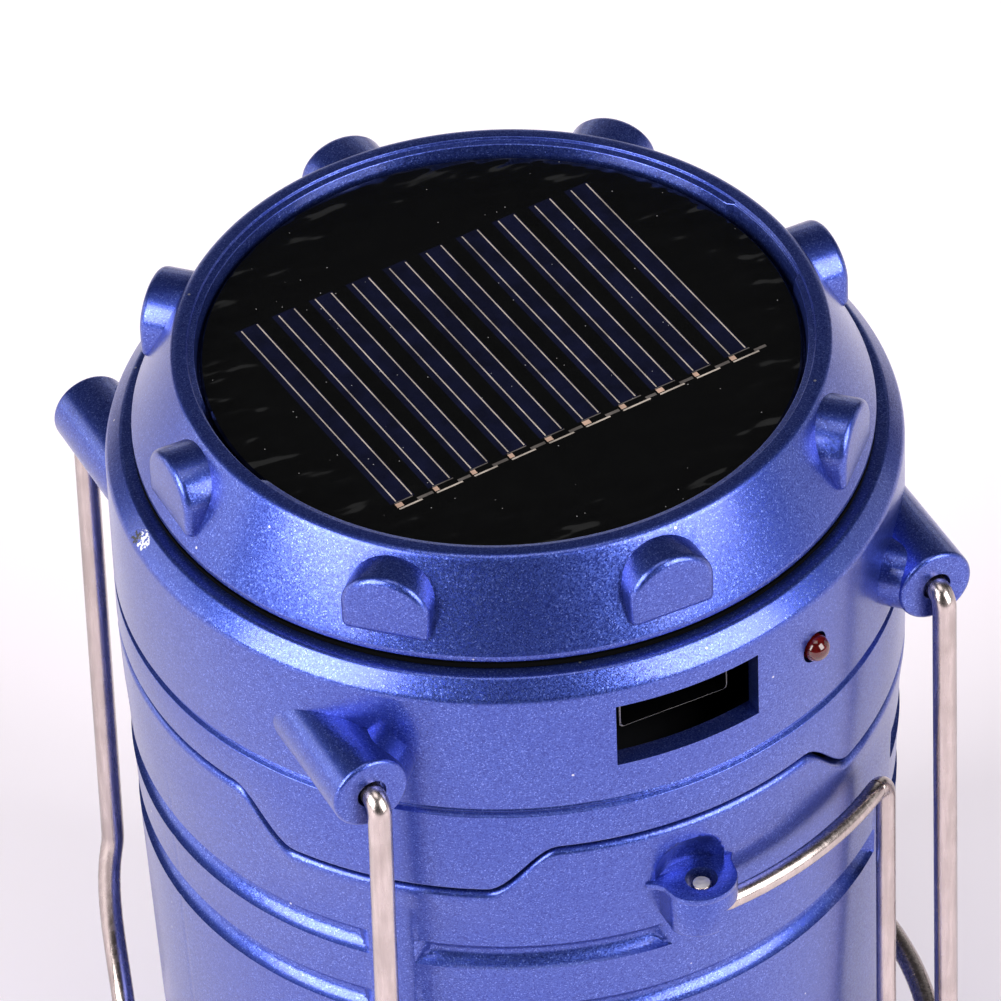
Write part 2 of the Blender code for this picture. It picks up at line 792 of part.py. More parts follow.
def make_slot(low, high):
    """Sector that leaves the wire free to swing out from the wall."""
    room = HANDLE_R + 0.35
    far = 9.0
    end = math.radians(HANDLE_SWING + 3.0)
    outline = [(far, room)]
    for i in range(7):
        a = math.pi / 2 + (math.pi - end) * i / 6
        outline.append((room * math.cos(a), room * math.sin(a)))
    last_x, last_y = outline[-1]
    outline.append((last_x + far * math.cos(end), last_y - far * math.sin(end)))
    outline.append((far, -far))
    return slab("lug_slot", [(x, y - LUG_Y) for x, y in outline], low, high)


def channel_section(z):
    """Profile of one shallow channel round the wall."""
    half = CHANNEL_H / 2
    bottom = casing_radius(z) - CHANNEL_DEPTH
    return [(casing_radius(z + half), z + half), (bottom, z), (casing_radius(z - half), z - half)]


def fill_channel_gaps(casing):
    """Bring the channel floors out to the wall where the channels are broken."""
    for vert in casing.data.vertices:
        radius = math.hypot(vert.co.x, vert.co.y) / MM
        wall = casing_radius(vert.co.z / MM)
        if not 0.2 < wall - radius < CHANNEL_DEPTH + 0.2:
            continue
        angle = math.degrees(math.atan2(vert.co.x, -vert.co.y))
        off_tab = abs((angle - TAB_ANGLE + 45.0) % 90.0 - 45.0)
        beside_handle = -CHANNEL_TAB_ANGLE < angle < TAB_ANGLE
        under_handle = beside_handle and vert.co.z > HANDLE_CHANNEL_Z * MM
        if off_tab < CHANNEL_GAP_ANGLE or under_handle:
            vert.co.x *= wall / radius
            vert.co.y *= wall / radius


def make_guide():
    outer = casing_radius(GUIDE_TOP) - WALL - 0.4
    profile = [
        (outer, GUIDE_TOP), (outer, GUIDE_BOTTOM), (GUIDE_R, GUIDE_BOTTOM), (GUIDE_R, GUIDE_TOP),
    ]
    return finish(turned("guide_collar", profile, MEDIUM), BLACK)


def make_bezel():
    mouth = RING_INNER - 1.6
    seat = LENS_R + GAP
    profile = [
        (casing_radius(BEZEL_TOP), BEZEL_TOP), (BEZEL_R, 9.6), (BEZEL_R, 2.4), (RING_OUTER, 0.0),
        (RING_INNER, 0.0), (mouth, 1.6), (mouth, 3.6), (seat, 3.6), (seat, BEZEL_TOP),
    ]
    bezel = turned("torch_bezel", profile)
    cut(bezel, bores("bezel_bore", BORE_R, -1.0, BEZEL_TOP + 2.0, BASE_SCREWS))
    cut(bezel, bores("bezel_sink", 2.2, -1.0, BEZEL_SINK, BASE_SCREWS))
    return finish(bezel, BLUE)


def make_base_screws():
    high = BEZEL_SINK - GAP
    low = high - 1.4
    profile = [
        (0.0, BASE_SCREW_TOP), (SCREW_R, BASE_SCREW_TOP), (SCREW_R, high),
        (2 * SCREW_R, high), (2 * SCREW_R, low), (0.0, low),
    ]
    first = finish(turned("base_screw_1", profile, SMALL), ZINC)
    return copies(first, "base_screw", BASE_SCREWS)


def make_torch():
    """Lens, reflector bowl, LED, its board and the plate they hang from."""
    low = 5.6
    rise = 9.4
    bowl = []
    for i in range(6):
        share = i / 5
        bowl.append((4.0 + 22.8 * math.sqrt(share), low + rise * (1.0 - share)))
    shell = [(r + 1.0, max(z + 0.9 * (z - low) / rise, low)) for r, z in bowl]
    reflector = turned("torch_reflector", shell + list(reversed(bowl)), MEDIUM)
    led_profile = [(0.0, 16.2), (3.2, 16.2), (3.2, 14.8), (1.6, 13.6), (0.0, 13.2)]
    return [
        finish(disc("torch_lens", LENS_R, 3.9, 5.2), CLEAR),
        finish(reflector, CHROME),
        finish(turned("torch_led", led_profile, COARSE), LAMP),
        finish(disc("torch_board", 12.0, 16.5, 18.0), BOARD),
        finish(disc("torch_mount", MOUNT_R, 18.3, 20.6), WHITE),
    ]


def disc(name, radius, low, high):
    profile = [(0.0, high), (radius, high), (radius, low), (0.0, low)]
    return turned(name, profile, MEDIUM)


def make_button():
    """Round button with a retaining flange behind the wall."""
    profile = [
        (0.0, BUTTON_FACE), (BUTTON_R - 0.6, BUTTON_FACE), (BUTTON_R, BUTTON_FACE - 0.6),
        (BUTTON_R, BUTTON_FLANGE), (BUTTON_FLANGE_R, BUTTON_FLANGE),
        (BUTTON_FLANGE_R, BUTTON_BACK), (0.0, BUTTON_BACK),
    ]
    button = turned("push_button", profile, COARSE)
    turn = button_direction().to_track_quat("Z", "Y")
    button.data.transform(turn.to_matrix().to_4x4())
    button.location = (0.0, 0.0, BUTTON_Z * MM)
    return finish(button, BLACK)


def make_switch():
    place = button_direction() * SWITCH_MIDDLE + Vector((0.0, 0.0, BUTTON_Z))
    switch = box("switch_body", SWITCH_SIZE, place)
    switch.rotation_euler.z = math.radians(BUTTON_ANGLE)
    return finish(switch, BLACK)


# Joint frames

def add_frame(name, place, parent=None):
    frame = add_object(name, None)
    frame.empty_display_size = 0.01
    frame.parent = parent
    offset = parent.location if parent else Vector((0.0, 0.0, 0.0))
    frame.location = Vector(place) * MM - offset
    return frame


def attach(frame, pieces):
    """Parent pieces to a frame without moving them."""
    bpy.context.view_layer.update()
    for piece in pieces:
        place = piece.matrix_world.copy()
        piece.parent = frame
        piece.matrix_parent_inverse = frame.matrix_world.inverted()
        piece.matrix_world = place


def build():
    root = add_frame("lower_frame", (0.0, 0.0, 0.0))
    head = add_frame("head_slide", (0.0, 0.0, 0.0), root)
    left_pivot = add_frame("left_bail_pivot", (-BOSS_X, 0.0, BOSS_Z), head)
    right_pivot = add_frame("right_bail_pivot", (BOSS_X, 0.0, BOSS_Z), head)
    handle_pivot = add_frame("side_handle_pivot", (0.0, -LUG_Y, HANDLE_TOP), root)
    button_slide = add_frame("button_slide", (0.0, 0.0, BUTTON_Z), root)

    left_bail, right_bail = make_bails()
    attach(left_pivot, [left_bail])
    attach(right_pivot, [right_bail])
    attach(handle_pivot, [make_side_handle()])
    attach(button_slide, [make_button()])
    attach(head, [
        make_solar_cap(), make_gasket(), make_panel(), make_housing(), make_deck(),
        make_main_board(), make_charge_light(), make_lamp_tube(), make_tube_base(),
        make_lamp_cone(), make_lamp_board(), *make_usb_socket(), *make_battery(),
        *make_lamp_leds(), *make_cap_screws(),
    ])
    attach(root, [
        make_casing(), make_guide(), make_bezel(), make_switch(),
        *make_torch(), *make_base_screws(),
    ])


build()
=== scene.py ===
"""Looks of the solar lantern: fine surfaces, materials, light and camera.

Lengths are in millimetres and are multiplied by MM where they become geometry.
The floor and the lights are in metres. Angles around the object are in degrees,
from the front (-Y) towards +X.
"""
import math
import random

import bmesh
import bpy
from mathutils import Matrix, Vector
from mathutils.geometry import delaunay_2d_cdt, interpolate_bezier


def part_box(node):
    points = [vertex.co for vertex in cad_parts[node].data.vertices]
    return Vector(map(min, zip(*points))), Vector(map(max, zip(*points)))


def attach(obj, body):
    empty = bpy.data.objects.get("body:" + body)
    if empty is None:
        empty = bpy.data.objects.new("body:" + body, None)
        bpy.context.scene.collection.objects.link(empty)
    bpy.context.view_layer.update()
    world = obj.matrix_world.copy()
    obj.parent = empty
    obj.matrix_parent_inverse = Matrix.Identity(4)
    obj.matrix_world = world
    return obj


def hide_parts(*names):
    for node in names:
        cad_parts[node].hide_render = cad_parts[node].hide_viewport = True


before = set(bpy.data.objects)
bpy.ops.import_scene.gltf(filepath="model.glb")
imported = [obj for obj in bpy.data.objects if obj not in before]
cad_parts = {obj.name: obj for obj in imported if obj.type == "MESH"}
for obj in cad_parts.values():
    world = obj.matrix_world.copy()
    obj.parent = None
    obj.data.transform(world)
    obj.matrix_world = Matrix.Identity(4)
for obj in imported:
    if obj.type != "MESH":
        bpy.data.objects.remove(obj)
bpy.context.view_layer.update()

MM = 0.001


def low(node):
    return Vector(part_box(node)[0]) / MM


def high(node):
    return Vector(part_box(node)[1]) / MM


# Sizes taken from the frame (mm)
RIM_TOP = high("solar_cap").z
PANEL_TOP = high("solar_panel").z
PANEL_BOTTOM = low("solar_panel").z
PANEL_R = high("solar_panel").x
BODY_R = high("head_housing").x
COLLAR_TOP = high("head_housing").z
LINE_LOW = low("head_housing").z - 0.2
CASING_BOTTOM = low("lower_casing").z
BEZEL_TOP = high("torch_bezel").z
BEZEL_R = high("torch_bezel").x

# Head (mm)
WALL = 2.2
RIM_R = 35.1
CAP_LIP = 114.6
SKIRT_R = 38.9
SKIRT_LOW = 111.0
LIP_R = 39.95
SEAT_R = 29.0
NOTCH_ANGLE = 91.5
NOTCH_HALF = 12.5
NOTCH_R = 33.2
NOTCH_DEPTH = 0.5
BUMP_W = 9.8
BUMP_R = 39.7
BUMP_ROOT = 34.2
BUMP_LOW = 116.5
BUMP_HIGH = 124.2
BUMP_CROWN = 4.4
BUMP_FOOT = 0.9
BUMP_EDGE = 0.85
COLLAR_EDGE = 111.5
COLLAR_INNER = 39.65
GROOVE_Z = 95.8
LINE_HIGH = 90.1
TAB_ANGLE = 45.0
TAB_FLAT = 14.5
TAB_END = 25.0
PART_LINE = 0.65
BOSS_X = 33.6
BOSS_END = 35.2
BOSS_Z = 102.4
BOSS_R = 4.3
BOSS_HOLE_R = 1.62
STUB_R = 3.8
STUB_ROOT = 25.0
STUB_END = 47.4
STUB_CUT = 34.65
STUB_CUTTER = (20.0, 10.0, 20.0)
USB_Z = 105.1
USB_WINDOW = (16.8, 8.3)
LIGHT_ANGLE = 22.5
LIGHT_Z = 104.9
LIGHT_R = 1.5
LIGHT_REACH = 5.6

# Solar cells: ten strips with two finger lines each
CELL_COUNT = 10
CELL_PITCH = 4.65
CELL_FIRST = -22.25
FINGER_GAP = 1.98
FINGER_HALF = 0.07
CELL_NEAR = -14.4
CELL_FAR = 18.2
CELL_LEAN = 0.024
CELL_TURN = 5.5

# Lower casing (mm)
TAPER = math.tan(math.radians(2.0))
CASING_FLOOR = 16.0
CASING_LEDGE = 79.2
CHANNEL_Z = (73.9, 64.7, 30.0, 20.8)
CHANNEL_HALF = 1.75
CHANNEL_DEPTH = 1.3
CHANNEL_END = 1.5
TOP_CHANNEL_END = 3.5
STEP_HEIGHT = 3.6
STEP_DEPTH = 0.14
TAB_HALF_WIDTH = 2.6
SEAM_ANGLE = 92.0
SEAM_DEPTH = 0.05
SEAM_TOP = 78.0
SCOOP_X = -0.5
SCOOP_R = 4.1
SCOOP_DEPTH = 1.75
SCOOP_TOP = 87.5
BUTTON_ANGLE = 7.6
BUTTON_Z = 52.0
BUTTON_R = 4.5

# Side handle with its lugs, and the two bails (mm)
LUG_Y = 44.5
LUG_TOP = 82.6
LUG_HEIGHT = 5.5
LUG_HALF = 4.05
LUG_ROOT = 41.6
LUG_SLOT = 1.45
HANDLE_TOP = 78.4
HANDLE_LOW = 16.8
HANDLE_RUN_R = 45.0
HANDLE_ANGLE = 36.6
HANDLE_R = 1.1
BAIL_R = 1.3
BAIL_ARM_Y = 36.9
GRIP_R = 46.2
GRIP_Z = 16.5

# Torch end and lamp (mm)
TORCH_MOUTH = 26.4
LENS_SEAT = 28.2
SCREW_RING = 35.0
CHIP_R = 3.2
CHIP_TOP = 16.2
CHIP_SIDE = 14.9
CHIP_LOW = 13.2
GLOBE_R = 31.0
GLOBE_INNER = 29.5
GLOBE_FOOT = 24.2
LED_RING = 18.0

# Steps in which round shapes are drawn
TURN_STEPS = 288
WALL_STEPS = 720
ROUND_STEPS = 64
ARC_STEPS = 5

# View: angles in degrees, the rest in mm
VIEW_AZIMUTH = -25.3
VIEW_ELEVATION = 41.58
VIEW_ROLL = 2.28
VIEW_DISTANCE = 1000.0
VIEW_LENS = 334.6
VIEW_SHIFT = (-0.73, -7.34)
VIEW_CENTER_Z = 111.5

random.seed(7)


# Mesh helpers

def point(radius, angle, z):
    a = math.radians(angle)
    return Vector((radius * math.sin(a), -radius * math.cos(a), z))


def clamped(share):
    return min(max(share, 0.0), 1.0)


def wrapped(angle):
    """The same angle, between -180 and 180."""
    return (angle + 180.0) % 360.0 - 180.0


def off_tab(angle):
    """Angle between a place and the nearest of the housing's four tabs."""
    return abs((angle - TAB_ANGLE + 45.0) % 90.0 - 45.0)


def add_object(name, data, *mats):
    obj = bpy.data.objects.new(name, data)
    bpy.context.scene.collection.objects.link(obj)
    for mat in mats:
        data.materials.append(mat)
    return obj


def from_bmesh(name, bm, *mats):
    mesh = bpy.data.meshes.new(name)
    bm.to_mesh(mesh)
    bm.free()
    return add_object(name, mesh, *mats)


def mesh_object(name, verts, faces, mat):
    """Object from points in millimetres, its faces turned outwards."""
    mesh = bpy.data.meshes.new(name)
    mesh.from_pydata([Vector(v) * MM for v in verts], [], faces)
    bm = bmesh.new()
    bm.from_mesh(mesh)
    bmesh.ops.recalc_face_normals(bm, faces=bm.faces)
    bm.to_mesh(mesh)
    bm.free()
    return add_object(name, mesh, mat)


def corner_arc(before, corner, after, radius, steps):
    """Points of the arc that rounds a corner between its two neighbours."""
    to_before = (before - corner).normalized()
    to_after = (after - corner).normalized()
    half = to_before.angle(to_after) / 2
    reach = radius / math.tan(half)
    middle = (to_before + to_after).normalized() * (radius / math.sin(half))
    start = (to_before * reach - middle).normalized()
    end = (to_after * reach - middle).normalized()
    return [corner + middle + start.slerp(end, k / steps) * radius for k in range(steps + 1)]


def rounded(corners, steps=ARC_STEPS):
    """Outline of (x, y) points in which each corner (x, y, radius) is an arc."""
    flat = [Vector((x, y, 0.0)) for x, y, radius in corners]
    outline = []
    for i, (x, y, radius) in enumerate(corners):
        if radius == 0.0:
            outline.append((x, y))
            continue
        after = flat[(i + 1) % len(flat)]
        arc = corner_arc(flat[i - 1], flat[i], after, radius, steps)
        outline += [(place.x, place.y) for place in arc]
    return outline


def fillet(points, radii, steps):
    """Round the inner corners of a path with arcs, one radius for each corner."""
    path = [Vector(p) for p in points]
    bent = [path[0]]
    for before, corner, after, radius in zip(path, path[1:], path[2:], radii):
        bent += corner_arc(before, corner, after, radius, steps)
    return bent + [path[-1]]


def turned(name, profile, mat, steps=ROUND_STEPS, warp=None):
    """Turn (radius, z) points about Z; warp moves each point by its angle."""
    verts = []
    poles = {}
    for k, (r, z) in enumerate(profile):
        if r == 0.0:
            poles[k] = len(verts)
            verts.append((0.0, 0.0, z))
    rings = []
    for i in range(steps):
        angle = 360.0 * i / steps
        ring = []
        for k, (r, z) in enumerate(profile):
            if k in poles:
                ring.append(poles[k])
                continue
            if warp is not None:
                r, z = warp(r, angle, z)
            ring.append(len(verts))
            verts.append(point(r, angle, z))
        rings.append(ring)
    count = len(profile)
    walls = count - 1 if 0 in poles and count - 1 in poles else count
    faces = []
    for here, there in zip(rings, rings[1:] + rings[:1]):
        for k in range(walls):
            n = (k + 1) % count
            corners = list(dict.fromkeys([here[k], here[n], there[n], there[k]]))
            if len(corners) > 2:
                faces.append(corners)
    return mesh_object(name, verts, faces, mat)


def ring_faces(rings, sides):
    """Faces of a solid over rings of points: its two ends, then its walls."""
    last = (rings - 1) * sides
    faces = [list(range(sides)), list(range(last + sides - 1, last - 1, -1))]
    for start in range(0, last, sides):
        for k in range(sides):
            n = (k + 1) % sides
            faces.append([start + k, start + n, start + sides + n, start + sides + k])
    return faces


def prism(name, outline, bottom, top, mat):
    """Upright prism over an outline of (x, y) points."""
    verts = [(x, y, z) for z in (bottom, top) for x, y in outline]
    return mesh_object(name, verts, ring_faces(2, len(outline)), mat)


def apply(obj):
    """Replace an object's mesh by its evaluated one and drop the modifiers."""
    bpy.context.view_layer.update()
    evaluated = obj.evaluated_get(bpy.context.evaluated_depsgraph_get())
    mesh = bpy.data.meshes.new_from_object(evaluated)
    obj.modifiers.clear()
    obj.data = mesh
    return obj


def boolean(obj, other, operation="DIFFERENCE"):
    """Cut another object out of an object, or unite the two; the other is removed."""
    modifier = obj.modifiers.new(operation.lower(), "BOOLEAN")
    modifier.operation = operation
    modifier.solver = "EXACT"
    modifier.object = other
    apply(obj)
    bpy.data.objects.remove(other, do_unlink=True)
    return obj


def bevelled(obj, width, segments=3, limit=40.0):
    modifier = obj.modifiers.new("edges", "BEVEL")
    modifier.width = width * MM
    modifier.segments = segments
    modifier.angle_limit = math.radians(limit)
    return apply(obj)


def smooth(obj, angle=32.0):
    obj.data.shade_smooth()
    obj.data.set_sharp_from_angle(angle=math.radians(angle))
    return obj


def aim(obj, direction, place):
    """Turn an object's Z axis to a direction and move it, in its mesh."""
    turn = Vector(direction).to_track_quat("Z", "Y").to_matrix().to_4x4()
    obj.data.transform(Matrix.Translation(Vector(place) * MM) @ turn)
    return obj


def box(name, size, center, mat):
    bm = bmesh.new()
    bmesh.ops.create_cube(bm, size=1.0)
    bmesh.ops.scale(bm, vec=Vector(size) * MM, verts=bm.verts)
    bmesh.ops.translate(bm, vec=Vector(center) * MM, verts=bm.verts)
    return from_bmesh(name, bm, mat)


def rod(name, radius, length, center, direction, mat, sides=48):
    half = length / 2
    profile = [(0.0, half), (radius, half), (radius, -half), (0.0, -half)]
    return aim(turned(name, profile, mat, sides), direction, center)


def joined(objects, name):
    """Join separate pieces into one object."""
    bm = bmesh.new()
    mats = []
    for obj in objects:
        mat = obj.data.materials[0]
        if mat not in mats:
            mats.append(mat)
        before = len(bm.faces)
        bm.from_mesh(obj.data)
        bm.faces.ensure_lookup_table()
        for face in bm.faces[before:]:
            face.material_index = mats.index(mat)
        bpy.data.objects.remove(obj, do_unlink=True)
    return from_bmesh(name, bm, *mats)


def wire(name, points, radius, mat, sides=20):
    """Round wire along points, with bevelled ends of bare metal."""
    ahead = points[1:] + points[-1:]
    behind = points[:1] + points[:-1]
    tangents = [(a - b).normalized() for a, b in zip(ahead, behind)]
    first, last = tangents[0], tangents[-1]
    bevel = radius * 0.15
    stations = [(points[0], first, 0.85), (points[0] + first * bevel, first, 1.0)]
    stations += [(place, tangent, 1.0) for place, tangent in zip(points, tangents)][1:-1]
    stations += [(points[-1] - last * bevel, last, 1.0), (points[-1], last, 0.85)]
    side = first.orthogonal().normalized()
    verts = []
    for place, tangent, share in stations:
        side = (side - tangent * side.dot(tangent)).normalized()
        up = tangent.cross(side)
        for k in range(sides):
            a = 2 * math.pi * k / sides
            verts.append(place + (side * math.cos(a) + up * math.sin(a)) * radius * share)
    obj = mesh_object(name, verts, ring_faces(len(stations), sides), mat)
    obj.data.materials.append(CUT)
    for end in obj.data.polygons[:2]:
        end.material_index = 1
    return smooth(obj, 50.0)


def show(obj, body, slot, *nodes):
    """Attach a piece to its body and hide the CAD nodes it stands for. The slot argument is not used."""
    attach(obj, body)
    if nodes:
        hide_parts(*nodes)


# Material helpers

class Look:
    """A Principled material with short calls for its nodes."""

    def __init__(self, name, color, roughness, metallic=0.0):
        self.mat = bpy.data.materials.new(name)
        self.mat.use_nodes = True
        self.tree = self.mat.node_tree
        self.shader = self.tree.nodes["Principled BSDF"]
        self.set("Base Color", (*color, 1.0))
        self.set("Roughness", roughness)
        self.set("Metallic", metallic)
        self.place = self.add("ShaderNodeTexCoord").outputs["Object"]

    def set(self, socket, value):
        self.shader.inputs[socket].default_value = value

    def link(self, source, socket):
        self.tree.links.new(source, self.shader.inputs[socket])

    def add(self, kind, inputs=None, **settings):
        """New node; each input gets another node's output or a plain value."""
        node = self.tree.nodes.new(kind)
        for key, value in settings.items():
            setattr(node, key, value)
        for key, value in (inputs or {}).items():
            if isinstance(value, bpy.types.NodeSocket):
                self.tree.links.new(value, node.inputs[key])
            else:
                node.inputs[key].default_value = value
        return node

    def stretched(self, stretch):
        return self.add("ShaderNodeMapping", {"Vector": self.place, "Scale": stretch}).outputs["Vector"]

    def noise(self, size, detail=2.0, stretch=(1.0, 1.0, 1.0)):
        """Noise with grains of about size millimetres."""
        inputs = {"Vector": self.stretched(stretch), "Scale": 1.0 / (size * MM), "Detail": detail}
        return self.add("ShaderNodeTexNoise", inputs).outputs["Fac"]

    def cells(self, size):
        """Random cells about size millimetres wide."""
        inputs = {"Vector": self.place, "Scale": 1.0 / (size * MM)}
        return self.add("ShaderNodeTexVoronoi", inputs).outputs

    def parts(self, color):
        return self.add("ShaderNodeSeparateColor", {"Color": color}).outputs

    def ramp(self, source, low_at, high_at, low_color, high_color):
        node = self.add("ShaderNodeValToRGB", {"Fac": source})
        stops = ((low_at, low_color), (high_at, high_color))
        for element, (place, color) in zip(node.color_ramp.elements, stops):
            element.position = place
            element.color = (*color, 1.0)
        return node.outputs["Color"]

    def tones(self, source, low_color, high_color):
        self.link(self.ramp(source, 0.3, 0.7, low_color, high_color), "Base Color")

    def span(self, source, from_low, from_high, to_low, to_high):
        inputs = {"Value": source, "From Min": from_low, "From Max": from_high,
                  "To Min": to_low, "To Max": to_high}
        return self.add("ShaderNodeMapRange", inputs).outputs["Result"]

    def rough(self, source, low, high, from_low=0.3, from_high=0.7):
        """Roughness that follows a noise over its usual range."""
        self.link(self.span(source, from_low, from_high, low, high), "Roughness")

    def mix(self, factor, first, second):
        """Colour between two others, each a node's output or (red, green, blue)."""
        inputs = {0: factor}
        for key, color in ((6, first), (7, second)):
            inputs[key] = (*color, 1.0) if isinstance(color, tuple) else color
        return self.add("ShaderNodeMix", inputs, data_type="RGBA").outputs[2]

    def product(self, first, second):
        return self.add("ShaderNodeMath", {0: first, 1: second}, operation="MULTIPLY").outputs[0]

    def vector(self, operation, first, second=(0.0, 0.0, 0.0)):
        return self.add("ShaderNodeVectorMath", {0: first, 1: second}, operation=operation).outputs

    def specks(self, color, spacing, size, rarity, tone):
        """Scatter round specks of dust over a colour."""
        cells = self.cells(spacing)
        dot = self.span(cells["Distance"], size, size * 1.5, 1.0, 0.0)
        draw = {0: self.parts(cells["Color"])[0], 1: rarity}
        kept = self.add("ShaderNodeMath", draw, operation="GREATER_THAN").outputs[0]
        return self.mix(self.product(dot, kept), color, tone)

    def chips(self, color):
        """Small chips in the paint around a few knocked places."""
        for place, size, tone in CHIPS:
            away = self.vector("DISTANCE", self.place, Vector(place) * MM)["Value"]
            near = self.span(away, size * 0.4 * MM, size * MM, 1.0, 0.0)
            edge = self.product(self.noise(0.35, 3.0), near)
            hit = self.span(edge, 0.46, 0.52, 0.0, 1.0)
            color = self.mix(hit, color, tone)
        return color

    def bump(self, source, height, below=None):
        """Surface relief of about height millimetres, over the relief below it."""
        inputs = {"Height": source, "Strength": 1.0, "Distance": height * MM}
        if below is not None:
            inputs["Normal"] = below
        return self.add("ShaderNodeBump", inputs).outputs["Normal"]


# Materials

def dimmed(color, share):
    return tuple(c * share for c in color)


def blue_paint():
    """Metallic blue paint: tilted flakes under a thin clear coat, faint orange peel."""
    look = Look("metallic_blue_paint", (0.06, 0.085, 0.44), 0.34, 0.92)
    flake = look.cells(0.13)["Color"]
    draw = look.parts(flake)
    color = look.ramp(draw[0], 0.0, 0.9, (0.017, 0.034, 0.25), (0.056, 0.096, 0.42))
    bright = look.span(draw[2], 0.87, 1.0, 0.0, 0.8)
    color = look.mix(bright, color, (0.17, 0.24, 0.72))
    shade = look.span(look.noise(9.0, 3.0), 0.35, 0.75, 0.0, 0.3)
    color = look.mix(shade, color, (0.03, 0.05, 0.33))
    color = look.specks(color, 2.6, 0.045, 0.9, (0.55, 0.56, 0.66))
    look.link(look.chips(color), "Base Color")
    look.rough(draw[1], 0.3, 0.42, 0.0, 1.0)
    tilt = look.vector("SUBTRACT", flake, (0.5, 0.5, 0.5))["Vector"]
    lean = look.add("ShaderNodeVectorMath", {0: tilt, "Scale": 0.12}, operation="SCALE").outputs[0]
    level = look.add("ShaderNodeNewGeometry").outputs["Normal"]
    leaning = look.vector("ADD", level, lean)["Vector"]
    look.link(look.vector("NORMALIZE", leaning)["Vector"], "Normal")
    look.link(look.bump(look.noise(1.0), 0.007), "Coat Normal")
    look.set("Coat Weight", 0.7)
    look.set("Coat Roughness", 0.2)
    look.set("Coat IOR", 1.5)
    return look.mat


def resin(name, color, roughness=0.5, metallic=0.0):
    """A colour under glossy resin: dust, and slow ripples that grow towards the disc's edge."""
    look = Look(name, color, roughness, metallic)
    shade = look.span(look.noise(2.4, 3.0), 0.3, 0.75, 0.0, 1.0)
    base = look.mix(shade, dimmed(color, 0.45), color)
    look.link(look.specks(base, 1.25, 0.035, 0.55, (0.34, 0.33, 0.33)), "Base Color")
    look.rough(look.noise(0.6), roughness - 0.1, roughness + 0.1)
    look.set("Coat Weight", 1.0)
    look.set("Coat Roughness", 0.09)
    look.set("Specular IOR Level", 0.03)
    out = look.vector("LENGTH", look.stretched((1.0, 1.0, 0.0)))["Value"]
    edge = look.span(out, 20.0 * MM, 31.0 * MM, 0.05, 1.0)
    height = look.product(look.noise(4.2, 1.0, (0.8, 1.5, 1.0)), edge)
    look.link(look.bump(height, 0.4), "Coat Normal")
    return look.mat


def steel():
    """Drawn stainless wire: warm, with lengthwise scuffs and dull smudges."""
    look = Look("stainless_wire", (0.56, 0.47, 0.45), 0.3, 1.0)
    streak = look.noise(0.55, 3.0, (1.0, 1.0, 0.1))
    dull = look.span(look.noise(5.5, 3.0), 0.45, 0.75, 0.0, 0.6)
    clean = look.ramp(streak, 0.3, 0.7, (0.42, 0.355, 0.34), (0.56, 0.475, 0.455))
    look.link(look.mix(dull, clean, (0.33, 0.275, 0.255)), "Base Color")
    look.rough(streak, 0.2, 0.32, 0.25, 0.75)
    fine = look.bump(streak, 0.002)
    look.link(look.bump(look.noise(0.25), 0.0015, fine), "Normal")
    return look.mat


def plated(name, color, roughness, grain=0.3):
    """Plated or cut metal with a fine grain."""
    look = Look(name, color, roughness, 1.0)
    speck = look.noise(grain, 3.0)
    look.tones(speck, dimmed(color, 0.8), color)
    look.rough(speck, roughness * 0.8, roughness * 1.3)
    look.link(look.bump(speck, 0.004), "Normal")
    return look.mat


def moulded(name, color, roughness, grain=0.35, relief=0.012, shine=0.5):
    """Moulded plastic with a fine grain and slight tone changes."""
    look = Look(name, color, roughness)
    look.set("Specular IOR Level", shine)
    speck = look.noise(grain, 3.0)
    look.tones(look.noise(8.0), dimmed(color, 0.82), color)
    look.rough(speck, roughness - 0.08, roughness + 0.08)
    look.link(look.bump(speck, relief), "Normal")
    return look.mat


def clear_plastic():
    look = Look("clear_plastic", (0.94, 0.96, 0.98), 0.05)
    look.set("Transmission Weight", 0.95)
    look.set("IOR", 1.45)
    look.rough(look.noise(14.0, 3.0), 0.02, 0.12, 0.35, 0.75)
    look.link(look.bump(look.noise(4.0, 1.0), 0.01), "Normal")
    return look.mat


def red_lens():
    look = Look("red_lens", (0.07, 0.002, 0.002), 0.12)
    depth = look.noise(0.9)
    color = look.ramp(depth, 0.3, 0.75, (0.035, 0.001, 0.001), (0.1, 0.003, 0.003))
    look.link(color, "Base Color")
    look.rough(depth, 0.08, 0.16)
    look.set("Subsurface Weight", 0.15)
    look.set("Subsurface Radius", (0.001, 0.0003, 0.0003))
    look.set("Coat Weight", 0.5)
    look.link(look.bump(look.noise(0.5, 1.0), 0.006), "Normal")
    return look.mat


def yellow_phosphor():
    look = Look("lamp_phosphor", (0.86, 0.76, 0.26), 0.25)
    grain = look.noise(0.3)
    look.tones(grain, (0.78, 0.66, 0.2), (0.92, 0.85, 0.4))
    look.rough(grain, 0.15, 0.35)
    look.set("Coat Weight", 0.6)
    look.link(look.bump(grain, 0.01), "Normal")
    return look.mat


def circuit_board():
    look = Look("circuit_board", (0.02, 0.17, 0.06), 0.4)
    trace = look.add("ShaderNodeTexBrick", {
        "Vector": look.place, "Scale": 1.0 / (4.0 * MM), "Mortar Size": 0.03,
        "Color1": (0.02, 0.16, 0.055, 1.0), "Color2": (0.025, 0.19, 0.07, 1.0),
        "Mortar": (0.05, 0.27, 0.1, 1.0),
    }).outputs
    look.link(trace["Color"], "Base Color")
    look.rough(look.noise(0.4), 0.32, 0.48)
    look.link(look.bump(trace["Fac"], 0.03), "Normal")
    return look.mat


